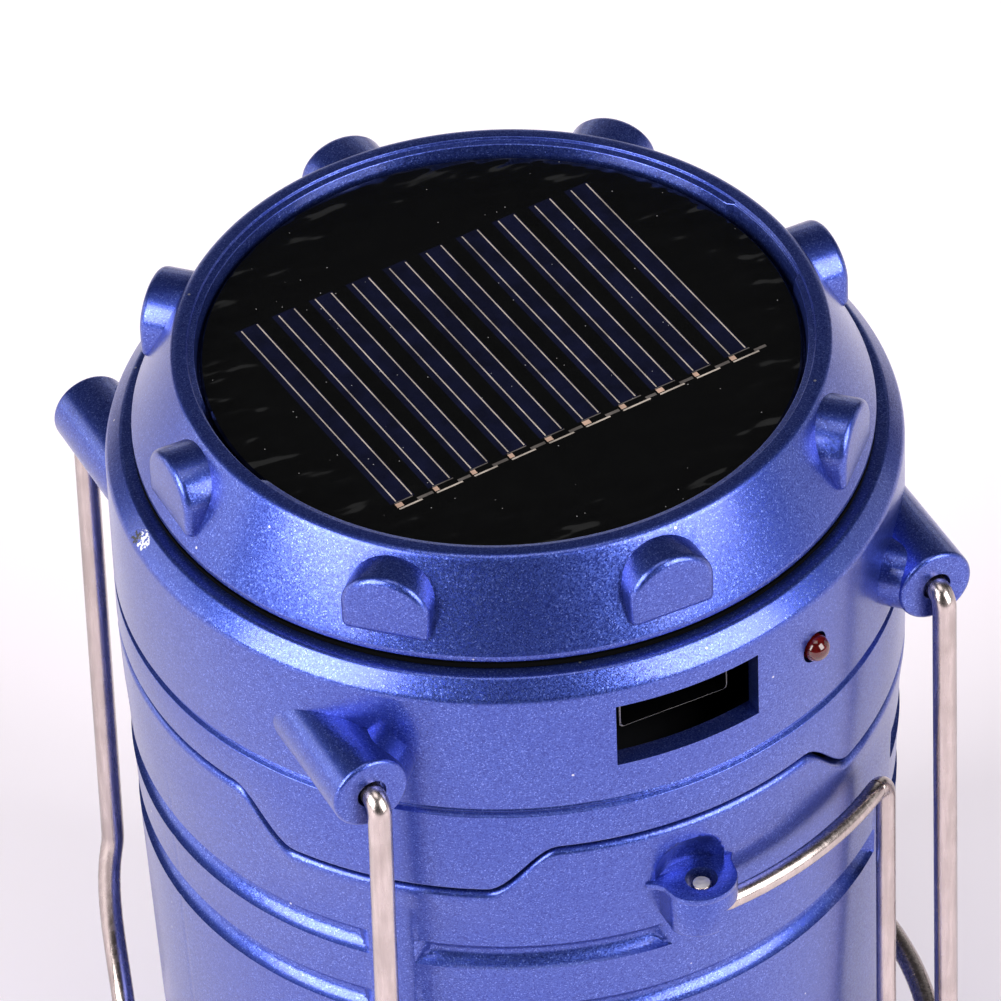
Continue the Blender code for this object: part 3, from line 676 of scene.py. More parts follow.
# Knocked places: (place, size in mm, colour)
CHIPS = (
    (point(42.1, -92.5, 112.6), 2.2, (0.75, 0.75, 0.8)),
    (point(42.3, -94.0, 112.1), 1.6, (0.01, 0.01, 0.015)),
    (point(BODY_R, -5.0, 101.5), 0.9, (0.5, 0.5, 0.52)),
)
BLUE = blue_paint()
RESIN_BLACK = resin("panel_resin_black", (0.0009, 0.001, 0.001))
CELL_NAVY = resin("panel_cell_navy", (0.0035, 0.0045, 0.019))
FINGER = resin("panel_finger_silver", (0.62, 0.53, 0.46), 0.4, 0.25)
TAB_COPPER = resin("panel_tab_copper", (0.75, 0.5, 0.38), 0.45, 0.3)
SOLDER = resin("panel_tab_solder", (0.16, 0.14, 0.13), 0.4, 0.3)
STEEL = steel()
NICKEL = plated("nickel_plate", (0.55, 0.53, 0.5), 0.3)
ZINC = plated("zinc_plate", (0.5, 0.5, 0.52), 0.35)
CHROME = plated("vacuum_chrome", (0.86, 0.87, 0.89), 0.07, 3.0)
CUT = plated("cut_wire_end", (0.62, 0.58, 0.57), 0.65, 0.25)
# The USB shell's nickel, coloured near-black: painted shade for the dark inside of the housing.
NICKEL_PAINTED_SHADE = plated("nickel_painted_shade", (0.012, 0.012, 0.013), 0.45)
GOLD = plated("gold_contact", (0.8, 0.58, 0.26), 0.25)
BLACK = moulded("black_plastic", (0.012, 0.012, 0.014), 0.42)
# Cap gasket: black rubber, darkened to near-black and left almost without shine, which is partly its own
# colour and partly painted shade of the gap under the cap's lip.
RUBBER_AND_GAP_SHADE = moulded("black_rubber", (0.0015, 0.0015, 0.0015), 0.9, 0.35, 0.012, 0.04)
WHITE = moulded("white_plastic", (0.78, 0.78, 0.75), 0.5)
SLEEVE = moulded("cell_sleeve", (0.03, 0.2, 0.42), 0.32, 1.5, 0.02)
CLEAR = clear_plastic()
RED = red_lens()
PHOSPHOR = yellow_phosphor()
BOARD = circuit_board()


# Cap and solar panel

def cap_wall(r, angle, z):
    """Shallow notches in the inner wall on the left and right sides."""
    off_side = abs((angle % 180.0) - NOTCH_ANGLE)
    if off_side < NOTCH_HALF and r < NOTCH_R and z > PANEL_TOP - 0.2:
        return r + NOTCH_DEPTH, z
    return r, z


def bump_outline(inset):
    """D outline of (x, z): straight below, a round crown above."""
    half = BUMP_W / 2 - inset
    crown = BUMP_CROWN - inset
    shoulder = BUMP_HIGH - BUMP_CROWN
    foot = BUMP_LOW + inset
    corner = max(BUMP_FOOT - inset, 0.15)
    outline = []
    for side in (-1, 1):
        for k in range(5):
            a = math.radians(22.5 * k)
            across, down = (math.sin(a), math.cos(a)) if side == 1 else (math.cos(a), math.sin(a))
            x = half - corner + corner * across
            outline.append((side * x, foot + corner - corner * down))
    for k in range(1, 32):
        a = math.pi * k / 32
        outline.append((half * math.cos(a), shoulder + crown * math.sin(a)))
    return outline


def make_bump(angle):
    """Bump with a flat outer face, a rounded edge and straight sides."""
    rings = []
    for k in range(6):
        a = math.radians(18.0 * k)
        ring = bump_outline(BUMP_EDGE * (1.0 - math.sin(a)))
        rings.append([(x, -(BUMP_R - BUMP_EDGE * (1.0 - math.cos(a))), z) for x, z in ring])
    rings.append([(x, -BUMP_ROOT, z) for x, z in bump_outline(0.0)])
    verts = [v for ring in rings for v in ring]
    bump = mesh_object("bump", verts, ring_faces(len(rings), len(rings[0])), BLUE)
    bump.data.transform(Matrix.Rotation(math.radians(angle), 4, "Z"))
    return bump


def make_cap():
    """Rim and skirt turned in one, with eight bumps around it."""
    seat = PANEL_BOTTOM - 0.3
    profile = rounded([
        (32.75, RIM_TOP - 0.45, 0.15), (33.45, RIM_TOP - 0.3, 0.05), (33.55, RIM_TOP, 0.1),
        (RIM_R, RIM_TOP, 0.95), (39.65, 115.9, 0.8), (LIP_R, 115.3, 0.4), (LIP_R, CAP_LIP, 0.15),
        (SKIRT_R, CAP_LIP, 0.0), (SKIRT_R, SKIRT_LOW, 0.0), (36.0, SKIRT_LOW, 0.0), (36.0, 115.6, 0.0),
        (33.0, 118.0, 0.0), (SEAT_R, 118.2, 0.0), (SEAT_R, seat, 0.0), (PANEL_R + 0.3, seat, 0.0),
        (PANEL_R + 0.35, PANEL_TOP, 0.1),
    ])
    cap = turned("cap_shell", profile, BLUE, TURN_STEPS, cap_wall)
    bumps = joined([make_bump(45.0 * i) for i in range(8)], "bumps")
    boolean(cap, bumps, "UNION")
    show(smooth(cap), "head", "metallic_blue", "solar_cap")


def cell_point(u, v):
    """Place on the panel of a point of the cell array, which is turned and skewed."""
    a = math.radians(CELL_TURN)
    u += CELL_LEAN * (v - CELL_NEAR)
    return Vector((u * math.cos(a) - v * math.sin(a), u * math.sin(a) + v * math.cos(a)))


def cell_rectangles():
    """Rectangles (left, right, near, far, material) on the panel, top layer last."""
    shapes = []
    starts = [CELL_FIRST + CELL_PITCH * i for i in range(CELL_COUNT)]
    for first in starts:
        right = first + FINGER_GAP + 0.2
        shapes.append((first - 0.75, right, CELL_NEAR - 0.3, CELL_FAR + 0.1, CELL_NAVY))
    for first in starts:
        for u in (first, first + FINGER_GAP):
            far = CELL_FAR - random.uniform(0.0, 0.25)
            shapes.append((u - FINGER_HALF, u + FINGER_HALF, CELL_NEAR - 0.1, far, FINGER))
        wide = random.uniform(0.55, 0.95)
        end = random.uniform(2.5, 3.3)
        tab = CELL_NEAR - 0.45
        shapes.append((first - 0.3, first + end - 0.6, tab + 0.06, tab + 0.2, SOLDER))
        shapes.append((first + end - 0.4, first + CELL_PITCH - 0.6, tab - 0.75, tab - 0.35, SOLDER))
        shapes.append((first - 0.3, first + end, tab - 1.0, tab - 0.78, FINGER))
        shapes.append((first - 0.35, first - 0.35 + wide, tab - 0.65, tab, TAB_COPPER))
    return shapes


def make_panel():
    """Resin disc whose top is divided along the cells, fingers and tabs."""
    shapes = cell_rectangles()
    edge_r = PANEL_R - 0.25
    coords = []
    edges = []
    for left, right, near, far, _ in shapes:
        start = len(coords)
        for u, v in ((left, near), (right, near), (right, far), (left, far)):
            coords.append(cell_point(u, v))
        edges += [(start + k, start + (k + 1) % 4) for k in range(4)]
    start = len(coords)
    for i in range(TURN_STEPS):
        coords.append(point(edge_r, 360.0 * i / TURN_STEPS, 0.0).to_2d())
        edges.append((start + i, start + (i + 1) % TURN_STEPS))
    flat, _, tris = delaunay_2d_cdt(coords, edges, [], 1, 1e-5)[:3]
    bm = bmesh.new()
    top = [bm.verts.new(Vector((p.x, p.y, PANEL_TOP)) * MM) for p in flat]
    mats = [RESIN_BLACK, CELL_NAVY, FINGER, TAB_COPPER, SOLDER]
    for tri in tris:
        middle = sum((flat[k] for k in tri), Vector((0.0, 0.0))) / len(tri)
        face = bm.faces.new([top[k] for k in tri])
        face.material_index = mats.index(panel_material(middle, shapes))
    rim = [edge for edge in bm.edges if edge.is_boundary]
    side = ((PANEL_R, PANEL_TOP - 0.25), (PANEL_R, PANEL_BOTTOM), (PANEL_R - 4.0, PANEL_BOTTOM))
    for radius, z in side:
        made = bmesh.ops.extrude_edge_only(bm, edges=rim)["geom"]
        rim = [g for g in made if isinstance(g, bmesh.types.BMEdge) and g.is_boundary]
        for vert in {v for edge in rim for v in edge.verts}:
            flat_place = vert.co.to_2d().normalized() * radius * MM
            vert.co = Vector((flat_place.x, flat_place.y, z * MM))
    bmesh.ops.contextual_create(bm, geom=rim)
    bmesh.ops.recalc_face_normals(bm, faces=bm.faces)
    panel = from_bmesh("panel_disc", bm, *mats)
    show(smooth(panel, 25.0), "head", "panel_resin", "solar_panel")


def panel_material(place, shapes):
    """Material of the top layer at a place on the panel."""
    a = math.radians(CELL_TURN)
    u = place.x * math.cos(a) + place.y * math.sin(a)
    v = -place.x * math.sin(a) + place.y * math.cos(a)
    u -= CELL_LEAN * (v - CELL_NEAR)
    found = RESIN_BLACK
    for left, right, near, far, mat in shapes:
        if left < u < right and near < v < far:
            found = mat
    return found


# Head housing

def parting_height(angle):
    """Height of the line between housing and casing, low at each of the four tabs."""
    share = clamped((off_tab(angle) - TAB_FLAT) / (TAB_END - TAB_FLAT))
    eased = share * share * (3.0 - 2.0 * share)
    return LINE_LOW + (LINE_HIGH - LINE_LOW) * eased


def housing_wall(r, angle, z):
    """Bend the lower edge of the housing onto the parting line."""
    share = clamped((LINE_HIGH + 3.9 - z) / 3.4)
    return r, z + (parting_height(angle) - LINE_HIGH + PART_LINE / 2) * share


def make_boss(x, side):
    """Barrel for a bail's end: rounded rim, blind hole for the wire."""
    profile = rounded([
        (0.0, 28.0, 0.0), (BOSS_HOLE_R, 28.0, 0.0), (BOSS_HOLE_R, BOSS_END, 0.12), (BOSS_R, BOSS_END, 0.55),
        (BOSS_R, 20.0, 0.0), (0.0, 20.0, 0.0),
    ], 9)
    return aim(turned("boss", profile, BLUE), (0, side, 0), (x, 0.0, BOSS_Z))


def make_stub(angle):
    """Short barrel at a corner, cut off flat in front of the boss beside it."""
    along = point(1.0, angle, 0.0)
    middle = point((STUB_END + STUB_ROOT) / 2, angle, BOSS_Z)
    stub = rod("stub", STUB_R, STUB_END - STUB_ROOT, middle, along, BLUE)
    cutter_y = math.copysign(STUB_CUT + STUB_CUTTER[1] / 2, along.y)
    cutter = box("beyond", STUB_CUTTER, (along.x * STUB_END, cutter_y, BOSS_Z), BLUE)
    return boolean(stub, cutter)


def make_housing():
    """Wall with a collar, a groove and the bosses for the bails."""
    inner = BODY_R - WALL
    outside = rounded([
        (0.0, COLLAR_TOP, 0.0), (41.2, COLLAR_TOP, 0.7), (BODY_R, COLLAR_EDGE, 1.4),
        (BODY_R, GROOVE_Z + 0.62, 0.08), (BODY_R - 0.5, GROOVE_Z + 0.34, 0.04),
        (BODY_R - 0.3, GROOVE_Z, 0.08), (BODY_R - 0.5, GROOVE_Z - 0.34, 0.04),
        (BODY_R, GROOVE_Z - 0.62, 0.12), (BODY_R, LINE_HIGH, 0.3), (0.0, LINE_HIGH, 0.0),
    ], 6)
    cavity = [
        (0.0, COLLAR_TOP + 5.0), (COLLAR_INNER, COLLAR_TOP + 5.0), (COLLAR_INNER, 110.7),
        (35.2, 110.7), (35.2, 108.4), (inner, 108.4), (inner, LINE_LOW - 20.0),
        (0.0, LINE_LOW - 20.0),
    ]
    housing = turned("housing_shell", outside, BLUE, WALL_STEPS // 2, housing_wall)
    for x in (-BOSS_X, BOSS_X):
        for side in (-1, 1):
            boolean(housing, make_boss(x, side), "UNION")
    for angle in (45.0, 135.0, 225.0, 315.0):
        boolean(housing, make_stub(angle), "UNION")
    boolean(housing, turned("cavity", cavity, BLACK, 144))
    window = box("window", (USB_WINDOW[0], 10.0, USB_WINDOW[1]), (0.0, -BODY_R, USB_Z), BLUE)
    boolean(housing, window)
    light_at = point(BODY_R, LIGHT_ANGLE, LIGHT_Z)
    hole = rod("light_hole", LIGHT_R + 0.35, 8.0, light_at, point(1.0, LIGHT_ANGLE, 0.0), BLUE)
    boolean(housing, hole)
    show(smooth(housing, 16.0), "head", "metallic_blue", "head_housing")


def make_usb():
    """Socket shell in near-black nickel as painted shade, with a bare front edge, and its tongue with four
    contacts.
    """
    size = high("usb_shell") - low("usb_shell")
    middle = (low("usb_shell") + high("usb_shell")) / 2
    # Shell in near-black nickel, which is painted shade; its front edge stays bare metal.
    shell = bevelled(box("usb_socket", size, middle, NICKEL_PAINTED_SHADE), 0.7, 4)
    inner_size = (size.x - 0.7, size.y, size.z - 0.7)
    mouth = bevelled(box("mouth", inner_size, middle - Vector((0.0, 0.8, 0.0)), BLACK), 0.5, 3)
    boolean(shell, mouth)
    shell.data.materials.append(CUT)
    for face in shell.data.polygons:
        if face.normal.y < -0.8:
            face.material_index = len(shell.data.materials) - 1
    show(smooth(shell), "head", "nickel", "usb_shell")
    tongue_low = low("usb_tongue")
    tongue_size = high("usb_tongue") - tongue_low
    middle = tongue_low + tongue_size / 2
    tongue = bevelled(box("usb_contact_block", tongue_size, middle, BLACK), 0.2, 2)
    contacts = []
    for i in range(4):
        place = (-3.5 + 7.0 / 3 * i, middle.y - 0.8, tongue_low.z - 0.05)
        contact = box("contact", (1.0, 6.5, 0.16), place, GOLD)
        contacts.append(bevelled(contact, 0.05, 1))
    block = joined([tongue, *contacts], "usb_contact_block")
    show(smooth(block), "head", "white_plastic", "usb_tongue")


def make_charge_light():
    """Round red lamp whose dome stands out of its hole."""
    profile = []
    for k in range(13):
        a = math.radians(7.5 * k)
        profile.append((LIGHT_R * math.sin(a), LIGHT_REACH - LIGHT_R + LIGHT_R * math.cos(a)))
    profile += [(LIGHT_R, 0.0), (0.0, 0.0)]
    light = turned("charge_lamp", profile, RED, 40)
    aim(light, point(1.0, LIGHT_ANGLE, 0.0), point(BODY_R - 4.0, LIGHT_ANGLE, LIGHT_Z))
    show(smooth(light), "head", "red_light", "charge_light")


# Lower casing

def casing_radius(z):
    return BODY_R - max(LINE_HIGH - z, 0.0) * TAPER


def channel_cut(angle, z):
    """Depth of the channels and of the thin step over each, at a place on the wall.

    They run from tab to tab, but the top one leaves out the handle's stretch of the front.
    """
    run = math.radians(off_tab(angle)) * BODY_R - TAB_HALF_WIDTH
    around = wrapped(angle)
    deepest = 0.0
    for middle in CHANNEL_Z:
        reach = run
        if middle == CHANNEL_Z[0] and abs(around) < TAB_ANGLE:
            reach = min(run, -math.radians(around + TOP_CHANNEL_END) * BODY_R)
        if reach <= 0.0:
            continue
        off = (z - middle) / CHANNEL_HALF
        slope = reach * CHANNEL_DEPTH / CHANNEL_END
        if abs(off) < 1.0:
            deepest = max(deepest, min(CHANNEL_DEPTH * (1.0 - off * off) + STEP_DEPTH, slope))
        elif 0.0 < z - middle < STEP_HEIGHT:
            deepest = max(deepest, min(STEP_DEPTH, slope))
    return deepest


def scoop_cut(angle, z):
    """Depth of the round-topped scoop in the wall over the handle's lug."""
    x = math.radians(wrapped(angle)) * BODY_R - SCOOP_X
    rise = max(z - (SCOOP_TOP - SCOOP_R), 0.0)
    out = math.hypot(x, rise) / SCOOP_R
    if z < LUG_TOP - 0.3 or out >= 1.0:
        return 0.0
    return SCOOP_DEPTH * (1.0 - out ** 2.5)


def mould_seam(angle, z):
    """Depth of the hair line left by the mould on both sides of the casing."""
    off = abs((angle % 180.0) - SEAM_ANGLE)
    return SEAM_DEPTH if off < 0.3 and z < SEAM_TOP else 0.0


def casing_wall(r, angle, z):
    """Cut the wall's outer face and bend its upper edge onto the parting line."""
    on_outer_face = abs(r - casing_radius(z)) < 0.02
    if on_outer_face:
        r -= channel_cut(angle, z) + scoop_cut(angle, z)
        r -= mould_seam(angle, z)
    share = clamped((z - LINE_HIGH + 10.1) / 8.9)
    return r, z + (parting_height(angle) - LINE_HIGH - PART_LINE / 2) * share


def casing_heights():
    """Heights of the wall's rings: close together where the wall is cut."""
    heights = {LINE_HIGH - 0.9, LINE_HIGH - 1.6}
    scoop_low = LUG_TOP - 0.4
    heights.update(scoop_low + (SCOOP_TOP + 0.3 - scoop_low) * k / 17 for k in range(18))
    for middle in CHANNEL_Z:
        heights.update(middle + CHANNEL_HALF * k / 8 for k in range(-8, 9))
        heights.update((middle + STEP_HEIGHT, middle + STEP_HEIGHT - 0.08))
    heights.update(34.0 + 4.0 * k for k in range(1, 8))
    return sorted(heights, reverse=True)


def make_casing():
    """Tapered wall with channels and a scoop, open at both ends."""
    top = [(BODY_R - WALL, LINE_HIGH, 0.0), (BODY_R, LINE_HIGH, 0.8), (casing_radius(86.0), 86.0, 0.0)]
    profile = rounded(top)[:-1]
    profile += [(casing_radius(z), z) for z in casing_heights() if z < LINE_HIGH - 0.85]
    profile += rounded([
        (casing_radius(CASING_FLOOR), CASING_FLOOR, 0.0),
        (casing_radius(CASING_BOTTOM), CASING_BOTTOM, 0.3),
        (32.0, CASING_BOTTOM, 0.0), (32.0, CASING_FLOOR, 0.0),
    ])[1:]
    ledge_r = casing_radius(CASING_LEDGE) - WALL
    profile += [
        (casing_radius(CASING_FLOOR) - WALL, CASING_FLOOR), (ledge_r, CASING_LEDGE - 2.6),
        (37.8, CASING_LEDGE - 1.6), (37.8, CASING_LEDGE), (ledge_r, CASING_LEDGE),
    ]
    casing = turned("casing_shell", profile, BLUE, WALL_STEPS, casing_wall)
    place = point(BODY_R, BUTTON_ANGLE, BUTTON_Z)
    hole = rod("hole", BUTTON_R + 0.35, 14.0, place, point(1.0, BUTTON_ANGLE, 0.0), BLUE, 64)
    boolean(casing, hole)
    show(smooth(casing, 24.0), "base", "metallic_blue", "lower_casing")


def lug_outline():
    """Plate with a round front and two thin wings that reach along the wall."""
    outline = [(4.15, -41.9), (4.9, -42.3), (4.2, -43.4)]
    for k in range(17):
        a = math.radians(8.0 + 164.0 * k / 16)
        outline.append((4.0 * math.cos(a), -LUG_Y - 3.4 * math.sin(a)))
    return outline + [(-4.15, -43.9), (-4.6, -43.2), (-5.6, -42.6), (-5.6, -41.9)]


def slot_outline():
    """Room around the handle's wire, from its pin out along the wall."""
    far = 9.0
    outline = [(far, LUG_SLOT)]
    for k in range(9):
        a = math.pi / 2 + math.radians(122.0) * k / 8
        outline.append((LUG_SLOT * math.cos(a), LUG_SLOT * math.sin(a)))
    end = math.radians(58.0)
    last_x, last_y = outline[-1]
    return outline + [(last_x + far * math.cos(end), last_y - far * math.sin(end)), (far, -far)]


def make_lug(name, plate_z, down):
    """Half-round lug under a thin plate; down is 1 for the upper lug, -1 for the lower."""
    body = [(LUG_HALF, -LUG_ROOT), (LUG_HALF, -LUG_Y)]
    for k in range(1, 20):
        a = math.pi * k / 20
        body.append((LUG_HALF * math.cos(a), -LUG_Y - 3.3 * math.sin(a)))
    body += [(-3.9, -LUG_Y), (-3.9, -LUG_ROOT)]
    plate_span = sorted((plate_z, plate_z - 0.75 * down))
    body_span = sorted((plate_z - 0.4 * down, plate_z - LUG_HEIGHT * down))
    lug = bevelled(prism(name, lug_outline(), *plate_span, BLUE), 0.12, 2, 50.0)
    lower = bevelled(prism("lug_body", body, *body_span, BLUE), 0.35, 3, 50.0)
    boolean(lug, lower, "UNION")
    pin = rod("pin", 1.75, 9.0, (0.0, -LUG_Y, plate_z), (0, 0, 1), BLUE, 40)
    boolean(lug, pin)
    run_z = plate_z - (LUG_TOP - HANDLE_TOP) * down
    slot_span = sorted((run_z + LUG_SLOT * down, plate_z - (LUG_HEIGHT + 2.0) * down))
    cutter = prism("slot", [(x, y - LUG_Y) for x, y in slot_outline()], *slot_span, BLUE)
    boolean(lug, cutter)
    return smooth(lug, 35.0)


def make_lugs():
    """Upper lug, and the lower one that mirrors it at the handle's middle."""
    show(make_lug("upper_lug", LUG_TOP, 1), "base", "metallic_blue")
    show(make_lug("lower_lug", HANDLE_TOP + HANDLE_LOW - LUG_TOP, -1), "base", "metallic_blue")


def make_handle():
    """Wire that hangs from the upper lug, runs along the wall, down, and back."""
    run_start = math.degrees(math.atan2(3.0, LUG_Y))
    upper = [Vector((0.0, -LUG_Y, HANDLE_TOP + 3.6)), Vector((0.0, -LUG_Y, HANDLE_TOP))]
    for i in range(13):
        upper.append(point(HANDLE_RUN_R, run_start + (HANDLE_ANGLE - run_start) * i / 12, HANDLE_TOP))
    middle = (HANDLE_TOP + HANDLE_LOW) / 2
    upper.append(point(HANDLE_RUN_R, HANDLE_ANGLE, middle))
    head = fillet(upper[:3], [1.5], 6)[:-1]
    tail = fillet(upper[-3:], [2.6], 8)[1:-1]
    half = head + upper[2:-2] + tail
    lower = [Vector((p.x, p.y, 2 * middle - p.z)) for p in reversed(half)]
    handle = wire("side_handle_wire", half + lower, HANDLE_R, STEEL)
    show(handle, "side_handle", "stainless_wire", "side_handle")


def make_bails():
    """Two wires from boss to boss: down beside the casing and around it as a grip."""
    pin = (BOSS_X, -28.6, BOSS_Z)
    corner = (BOSS_X, -BAIL_ARM_Y, BOSS_Z)
    knee = (BOSS_X + 0.6, -36.5, 36.0)
    foot = (39.6, -33.0, 21.0)
    path = fillet([pin, corner, knee, foot], [BAIL_ARM_Y - BOSS_END - 0.2, 6.0], 10)[:-1]
    start = path[-1]
    grip = [point(GRIP_R, 90.0 - 3.0 * i, GRIP_Z) for i in range(10, -1, -1)]
    reach = (grip[0] - start).length / 3
    heading = start + (Vector(foot) - start).normalized() * reach
    arrival = grip[0] - (grip[1] - grip[0]).normalized() * reach
    path += interpolate_bezier(start, heading, arrival, grip[0], 16)[1:-1] + grip
    path += [Vector((p.x, -p.y, p.z)) for p in reversed(path[:-1])]
    for side, name in ((1, "right_bail"), (-1, "left_bail")):
        bent = [Vector((p.x * side, p.y, p.z)) for p in path]
        show(wire(name + "_wire", bent, BAIL_R, STEEL, 24), name, "stainless_wire", name)


# Torch end

def make_torch():
    """Bezel with three screws; behind it the lens, reflector and light."""
    profile = rounded([
        (casing_radius(BEZEL_TOP), BEZEL_TOP, 0.3), (BEZEL_R, 9.8, 0.5), (BEZEL_R, 2.2, 1.2),
        (39.2, 0.0, 0.6), (28.0, 0.0, 0.5), (TORCH_MOUTH, 1.6, 0.3), (TORCH_MOUTH, 3.6, 0.0),
        (LENS_SEAT, 3.6, 0.0), (LENS_SEAT, BEZEL_TOP, 0.0),
    ])
    bezel = turned("bezel_ring", profile, BLUE, TURN_STEPS)
    screws = []
    for i in range(3):
        place = point(SCREW_RING, 60.0 + 120.0 * i, 1.0)
        boolean(bezel, rod("sink", 2.25, 3.2, place, (0, 0, 1), BLUE))
        screws.append(make_screw(place))
    show(smooth(bezel), "base", "metallic_blue", "torch_bezel")
    for i, screw in enumerate(screws):
        show(screw, "base", "zinc", f"base_screw_{i + 1}")
    lens_r = LENS_SEAT - 0.3
    lens = rounded([
        (0.0, 5.1, 0.0), (lens_r, 5.1, 0.15), (lens_r, 3.9, 0.15), (24.0, 3.75, 0.5), (0.0, 3.5, 0.0),
    ])
    show(smooth(turned("front_lens", lens, CLEAR, 144)), "base", "clear_plastic", "torch_lens")
    bowl = [(4.0 + 22.8 * math.sqrt(k / 24), 15.0 - 9.4 * k / 24) for k in range(25)]
    shell = [(r + 0.9, max(z + 0.8 * (z - 5.6) / 9.4, 5.6)) for r, z in reversed(bowl)]
    reflector = turned("reflector_bowl", bowl + shell, CHROME, 144)
    show(smooth(reflector), "base", "chrome_plating", "torch_reflector")
    chip = [(0.0, CHIP_TOP), (CHIP_R, CHIP_TOP), (CHIP_R, CHIP_SIDE)]
    for k in range(1, 8):
        a = math.radians(11.25 * k)
        chip.append((CHIP_R * math.cos(a), CHIP_SIDE - (CHIP_SIDE - CHIP_LOW) * math.sin(a)))
    chip.append((0.0, CHIP_LOW))
    show(smooth(turned("torch_chip", chip, PHOSPHOR, 48)), "base", "lamp_light", "torch_led")


def make_screw(place):
    """Screw with its pan head below, with a cross recess."""
    profile = rounded([
        (0.0, 14.4, 0.0), (0.9, 14.4, 0.1), (0.9, 2.3, 0.0), (1.8, 2.3, 0.05),
        (1.8, 1.1, 0.35), (0.0, 0.9, 0.0),
    ])
    screw = turned("base_screw", profile, ZINC, 40)
    for angle in (0.0, 90.0):
        slot = box("slot", (0.42, 2.1, 1.2), (0.0, 0.0, 1.0), ZINC)
        slot.data.transform(Matrix.Rotation(math.radians(angle + 20.0), 4, "Z"))
        boolean(screw, slot)
    screw.data.transform(Matrix.Translation(Vector((place[0], place[1], 0.0)) * MM))
    return smooth(screw)


def make_button():
    """Round cap with a shallow ring groove, wider inside the casing."""
    profile = rounded([
        (0.0, 43.3, 0.0), (2.6, 43.26, 0.3), (2.9, 43.0, 0.2), (3.2, 43.2, 0.2),
        (BUTTON_R, 43.1, 0.45), (BUTTON_R, 38.6, 0.0), (5.7, 38.6, 0.0), (5.7, 37.9, 0.0),
        (0.0, 37.9, 0.0),
    ])
    button = turned("button_cap", profile, BLACK, 72)
    aim(button, point(1.0, BUTTON_ANGLE, 0.0), (0.0, 0.0, BUTTON_Z))
    show(smooth(button), "push_button", "black_plastic", "push_button")


# Lamp inside the casing

def make_lamp():
    """Ribbed globe, the cone that spreads the light, and six bulbs over it."""
    top = high("lamp_tube").z
    bottom = low("lamp_tube").z
    profile = rounded([
        (34.0, top, 0.2), (34.0, top - 1.5, 0.2), (GLOBE_R, top - 1.5, 0.5),
        (GLOBE_R, GLOBE_FOOT, 0.3), (33.4, GLOBE_FOOT, 0.2), (33.4, bottom, 0.2),
        (GLOBE_INNER, bottom, 0.2), (GLOBE_INNER, top, 0.2),
    ], 3)
    tube = turned("lamp_globe", profile, CLEAR, 180, globe_ribs)
    show(smooth(tube), "head", "clear_plastic", "lamp_tube")
    cone_top = high("lamp_cone").z
    cone_low = low("lamp_cone").z
    outer = [(1.0 + 27.0 * (k / 30) ** 1.6, cone_top - (cone_top - cone_low) * k / 30) for k in range(31)]
    inner = [(r - 1.0, max(z - 1.4, cone_low)) for r, z in reversed(outer[1:])]
    profile = [(0.0, cone_top)] + outer + inner + [(0.0, cone_top - 9.0)]
    show(smooth(turned("lamp_reflector", profile, CHROME, 96)), "head", "chrome_plating", "lamp_cone")
    for i in range(6):
        node = f"lamp_led_{i + 1}"
        led_top = high(node).z
        led_low = low(node).z
        body = rounded([
            (0.0, led_top, 0.0), (2.9, led_top, 0.1), (2.9, led_top - 1.0, 0.1),
            (2.5, led_top - 1.0, 0.0), (2.5, led_low + 0.1, 1.6), (0.0, led_low, 0.0),
        ])
        led = turned(f"lamp_bulb_{i + 1}", body, PHOSPHOR, 40)
        led.data.transform(Matrix.Translation(point(LED_RING, 60.0 * i, 0.0) * MM))
        show(smooth(led), "head", "lamp_light", node)


def globe_ribs(r, angle, z):
    """Fine upright ribs inside the globe."""
    if r < GLOBE_INNER + 0.2 and 26.0 < z < 90.0:
        return r + 0.12 * (1.0 + math.cos(math.radians(angle * 60.0))), z
    return r, z


# CAD nodes that keep their shape

NODE_LOOKS = (
    # The cap gasket is black rubber and also painted shade of the gap under the cap's lip.
    (RUBBER_AND_GAP_SHADE, ("cap_gasket",)),
    # head_deck is drawn in black plastic so the housing's inside looks dark through the USB window: painted
    # shade.
    (BLACK, ("head_deck", "guide_collar", "switch_body")),
    (WHITE, ("battery_cradle", "tube_base", "lamp_board", "torch_mount")),
    (BOARD, ("main_board", "torch_board")),
    (SLEEVE, ("battery_cell",)),
    (NICKEL, ("battery_tab_left", "battery_tab_right")),
    (ZINC, ("cap_screw_1", "cap_screw_2", "cap_screw_3", "cap_screw_4")),
)


def dress_nodes():
    """Give the CAD nodes that stay as they are their materials."""
    for mat, names in NODE_LOOKS:
        for name in names:
            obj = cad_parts[name]
            if not obj.material_slots:
                obj.data.materials.append(mat)
            for slot in obj.material_slots:
                slot.material = mat


# Floor, light and camera

def make_floor():
    look = Look("studio_floor", (0.97, 0.9, 0.94), 0.6)
    look.tones(look.noise(400.0, 1.0), (0.965, 0.89, 0.94), (0.985, 0.91, 0.955))
    bm = bmesh.new()
    bmesh.ops.create_grid(bm, x_segments=1, y_segments=1, size=4.0)
    floor = from_bmesh("floor", bm, look.mat)


def area_light(name, place, target, size, power):
    light = bpy.data.lights.new(name, "AREA")
    light.shape = "RECTANGLE"
    light.size, light.size_y = size
    light.energy = power
    obj = add_object(name, light)
    obj.location = place
    obj.rotation_euler = (target - place).to_track_quat("-Z", "Y").to_euler()


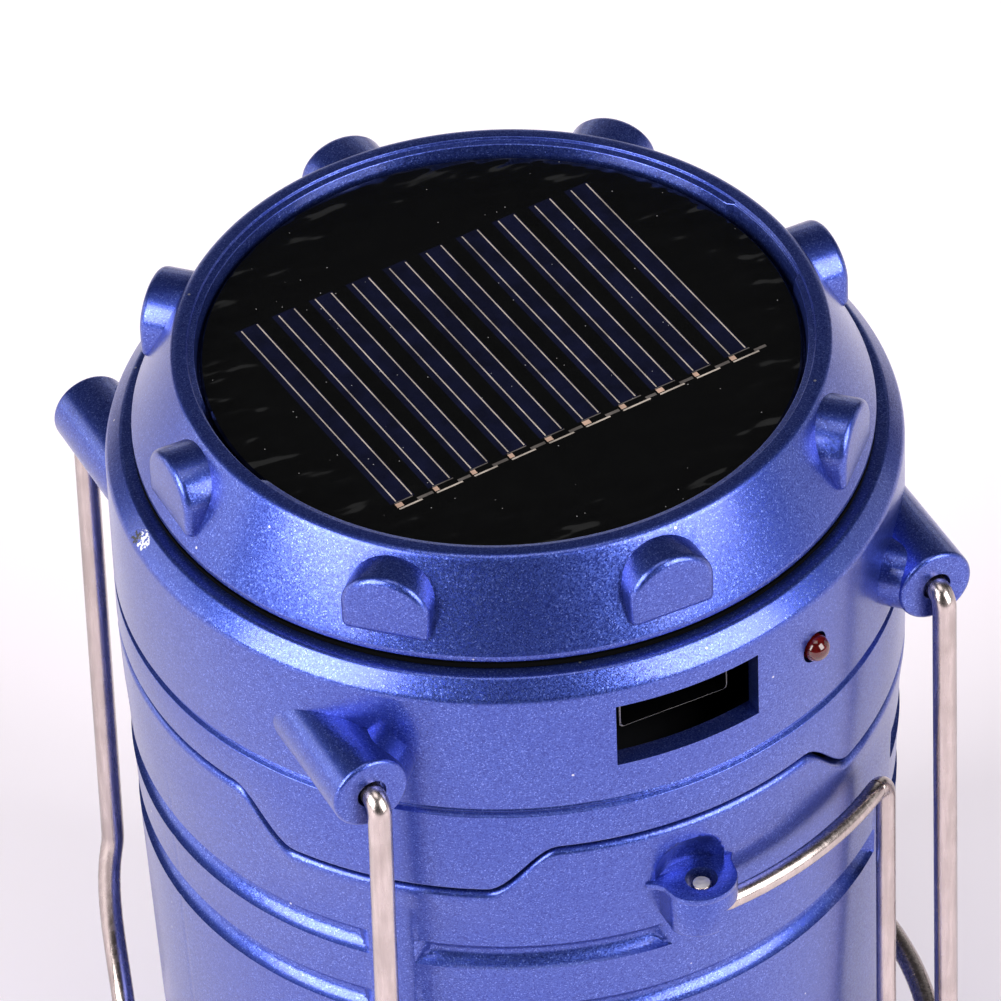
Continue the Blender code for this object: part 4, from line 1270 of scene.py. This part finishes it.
def make_lights():
    """Softboxes left, right and above, and faint cards at the sides and behind.

    Each is (name, azimuth from the view, elevation, distance, size, power).
    """
    world = bpy.data.worlds.new("studio")
    world.use_nodes = True
    sky = world.node_tree.nodes["Background"]
    sky.inputs["Color"].default_value = (0.95, 0.93, 1.0, 1.0)
    sky.inputs["Strength"].default_value = 0.04
    bpy.context.scene.world = world
    middle = Vector((0.0, 0.0, 0.08))
    turn = Matrix.Rotation(math.radians(VIEW_AZIMUTH), 3, "Z")
    for name, azimuth, elevation, distance, size, power in (
            ("left_box", -56.0, 33.0, 1.3, (0.75, 0.95), 22.5),
            ("right_box", 56.0, 33.0, 1.3, (0.75, 0.95), 19.5),
            ("top_box", 0.0, 84.0, 1.3, (0.6, 0.5), 2.5),
            ("left_card", -100.0, 14.0, 1.2, (0.7, 0.5), 2.6),
            ("right_card", 105.0, 14.0, 1.2, (0.7, 0.5), 0.9),
            ("back_card", 180.0, 13.0, 1.2, (1.5, 0.35), 1.4),
            ("back_glow", 180.0, 32.0, 1.2, (1.5, 0.25), 0.25)):
        level = math.radians(elevation)
        side = math.radians(azimuth)
        flat = math.cos(level)
        place = Vector((math.sin(side) * flat, -math.cos(side) * flat, math.sin(level)))
        area_light(name, turn @ place * distance, middle, size, power)


def make_camera():
    """Long lens from the front left, above the object, with a slight roll."""
    e = math.radians(VIEW_ELEVATION)
    roll = math.radians(VIEW_ROLL)
    right = Vector((1.0, 0.0, 0.0))
    forward = Vector((0.0, math.cos(e), -math.sin(e)))
    up = Vector((0.0, math.sin(e), math.cos(e)))
    place = forward * -VIEW_DISTANCE + right * VIEW_SHIFT[0] + up * VIEW_SHIFT[1]
    x_axis = right * math.cos(roll) - up * math.sin(roll)
    y_axis = right * math.sin(roll) + up * math.cos(roll)
    turn = Matrix((x_axis, y_axis, -forward)).transposed().to_4x4()
    spin = Matrix.Rotation(math.radians(VIEW_AZIMUTH), 4, "Z")
    camera = bpy.data.cameras.new("camera")
    camera.lens = VIEW_LENS
    obj = add_object("camera", camera)
    shift = Matrix.Translation(Vector((0.0, 0.0, VIEW_CENTER_Z)) * MM)
    obj.matrix_world = shift @ spin @ Matrix.Translation(place * MM) @ turn
    bpy.context.scene.camera = obj
    bpy.context.scene.view_settings.view_transform = "Standard"
    bpy.context.scene.view_settings.look = "None"


make_camera()
make_floor()
make_lights()
make_cap()
make_panel()
make_housing()
make_usb()
make_charge_light()
make_casing()
make_lugs()
make_handle()
make_bails()
make_torch()
make_button()
make_lamp()
dress_nodes()
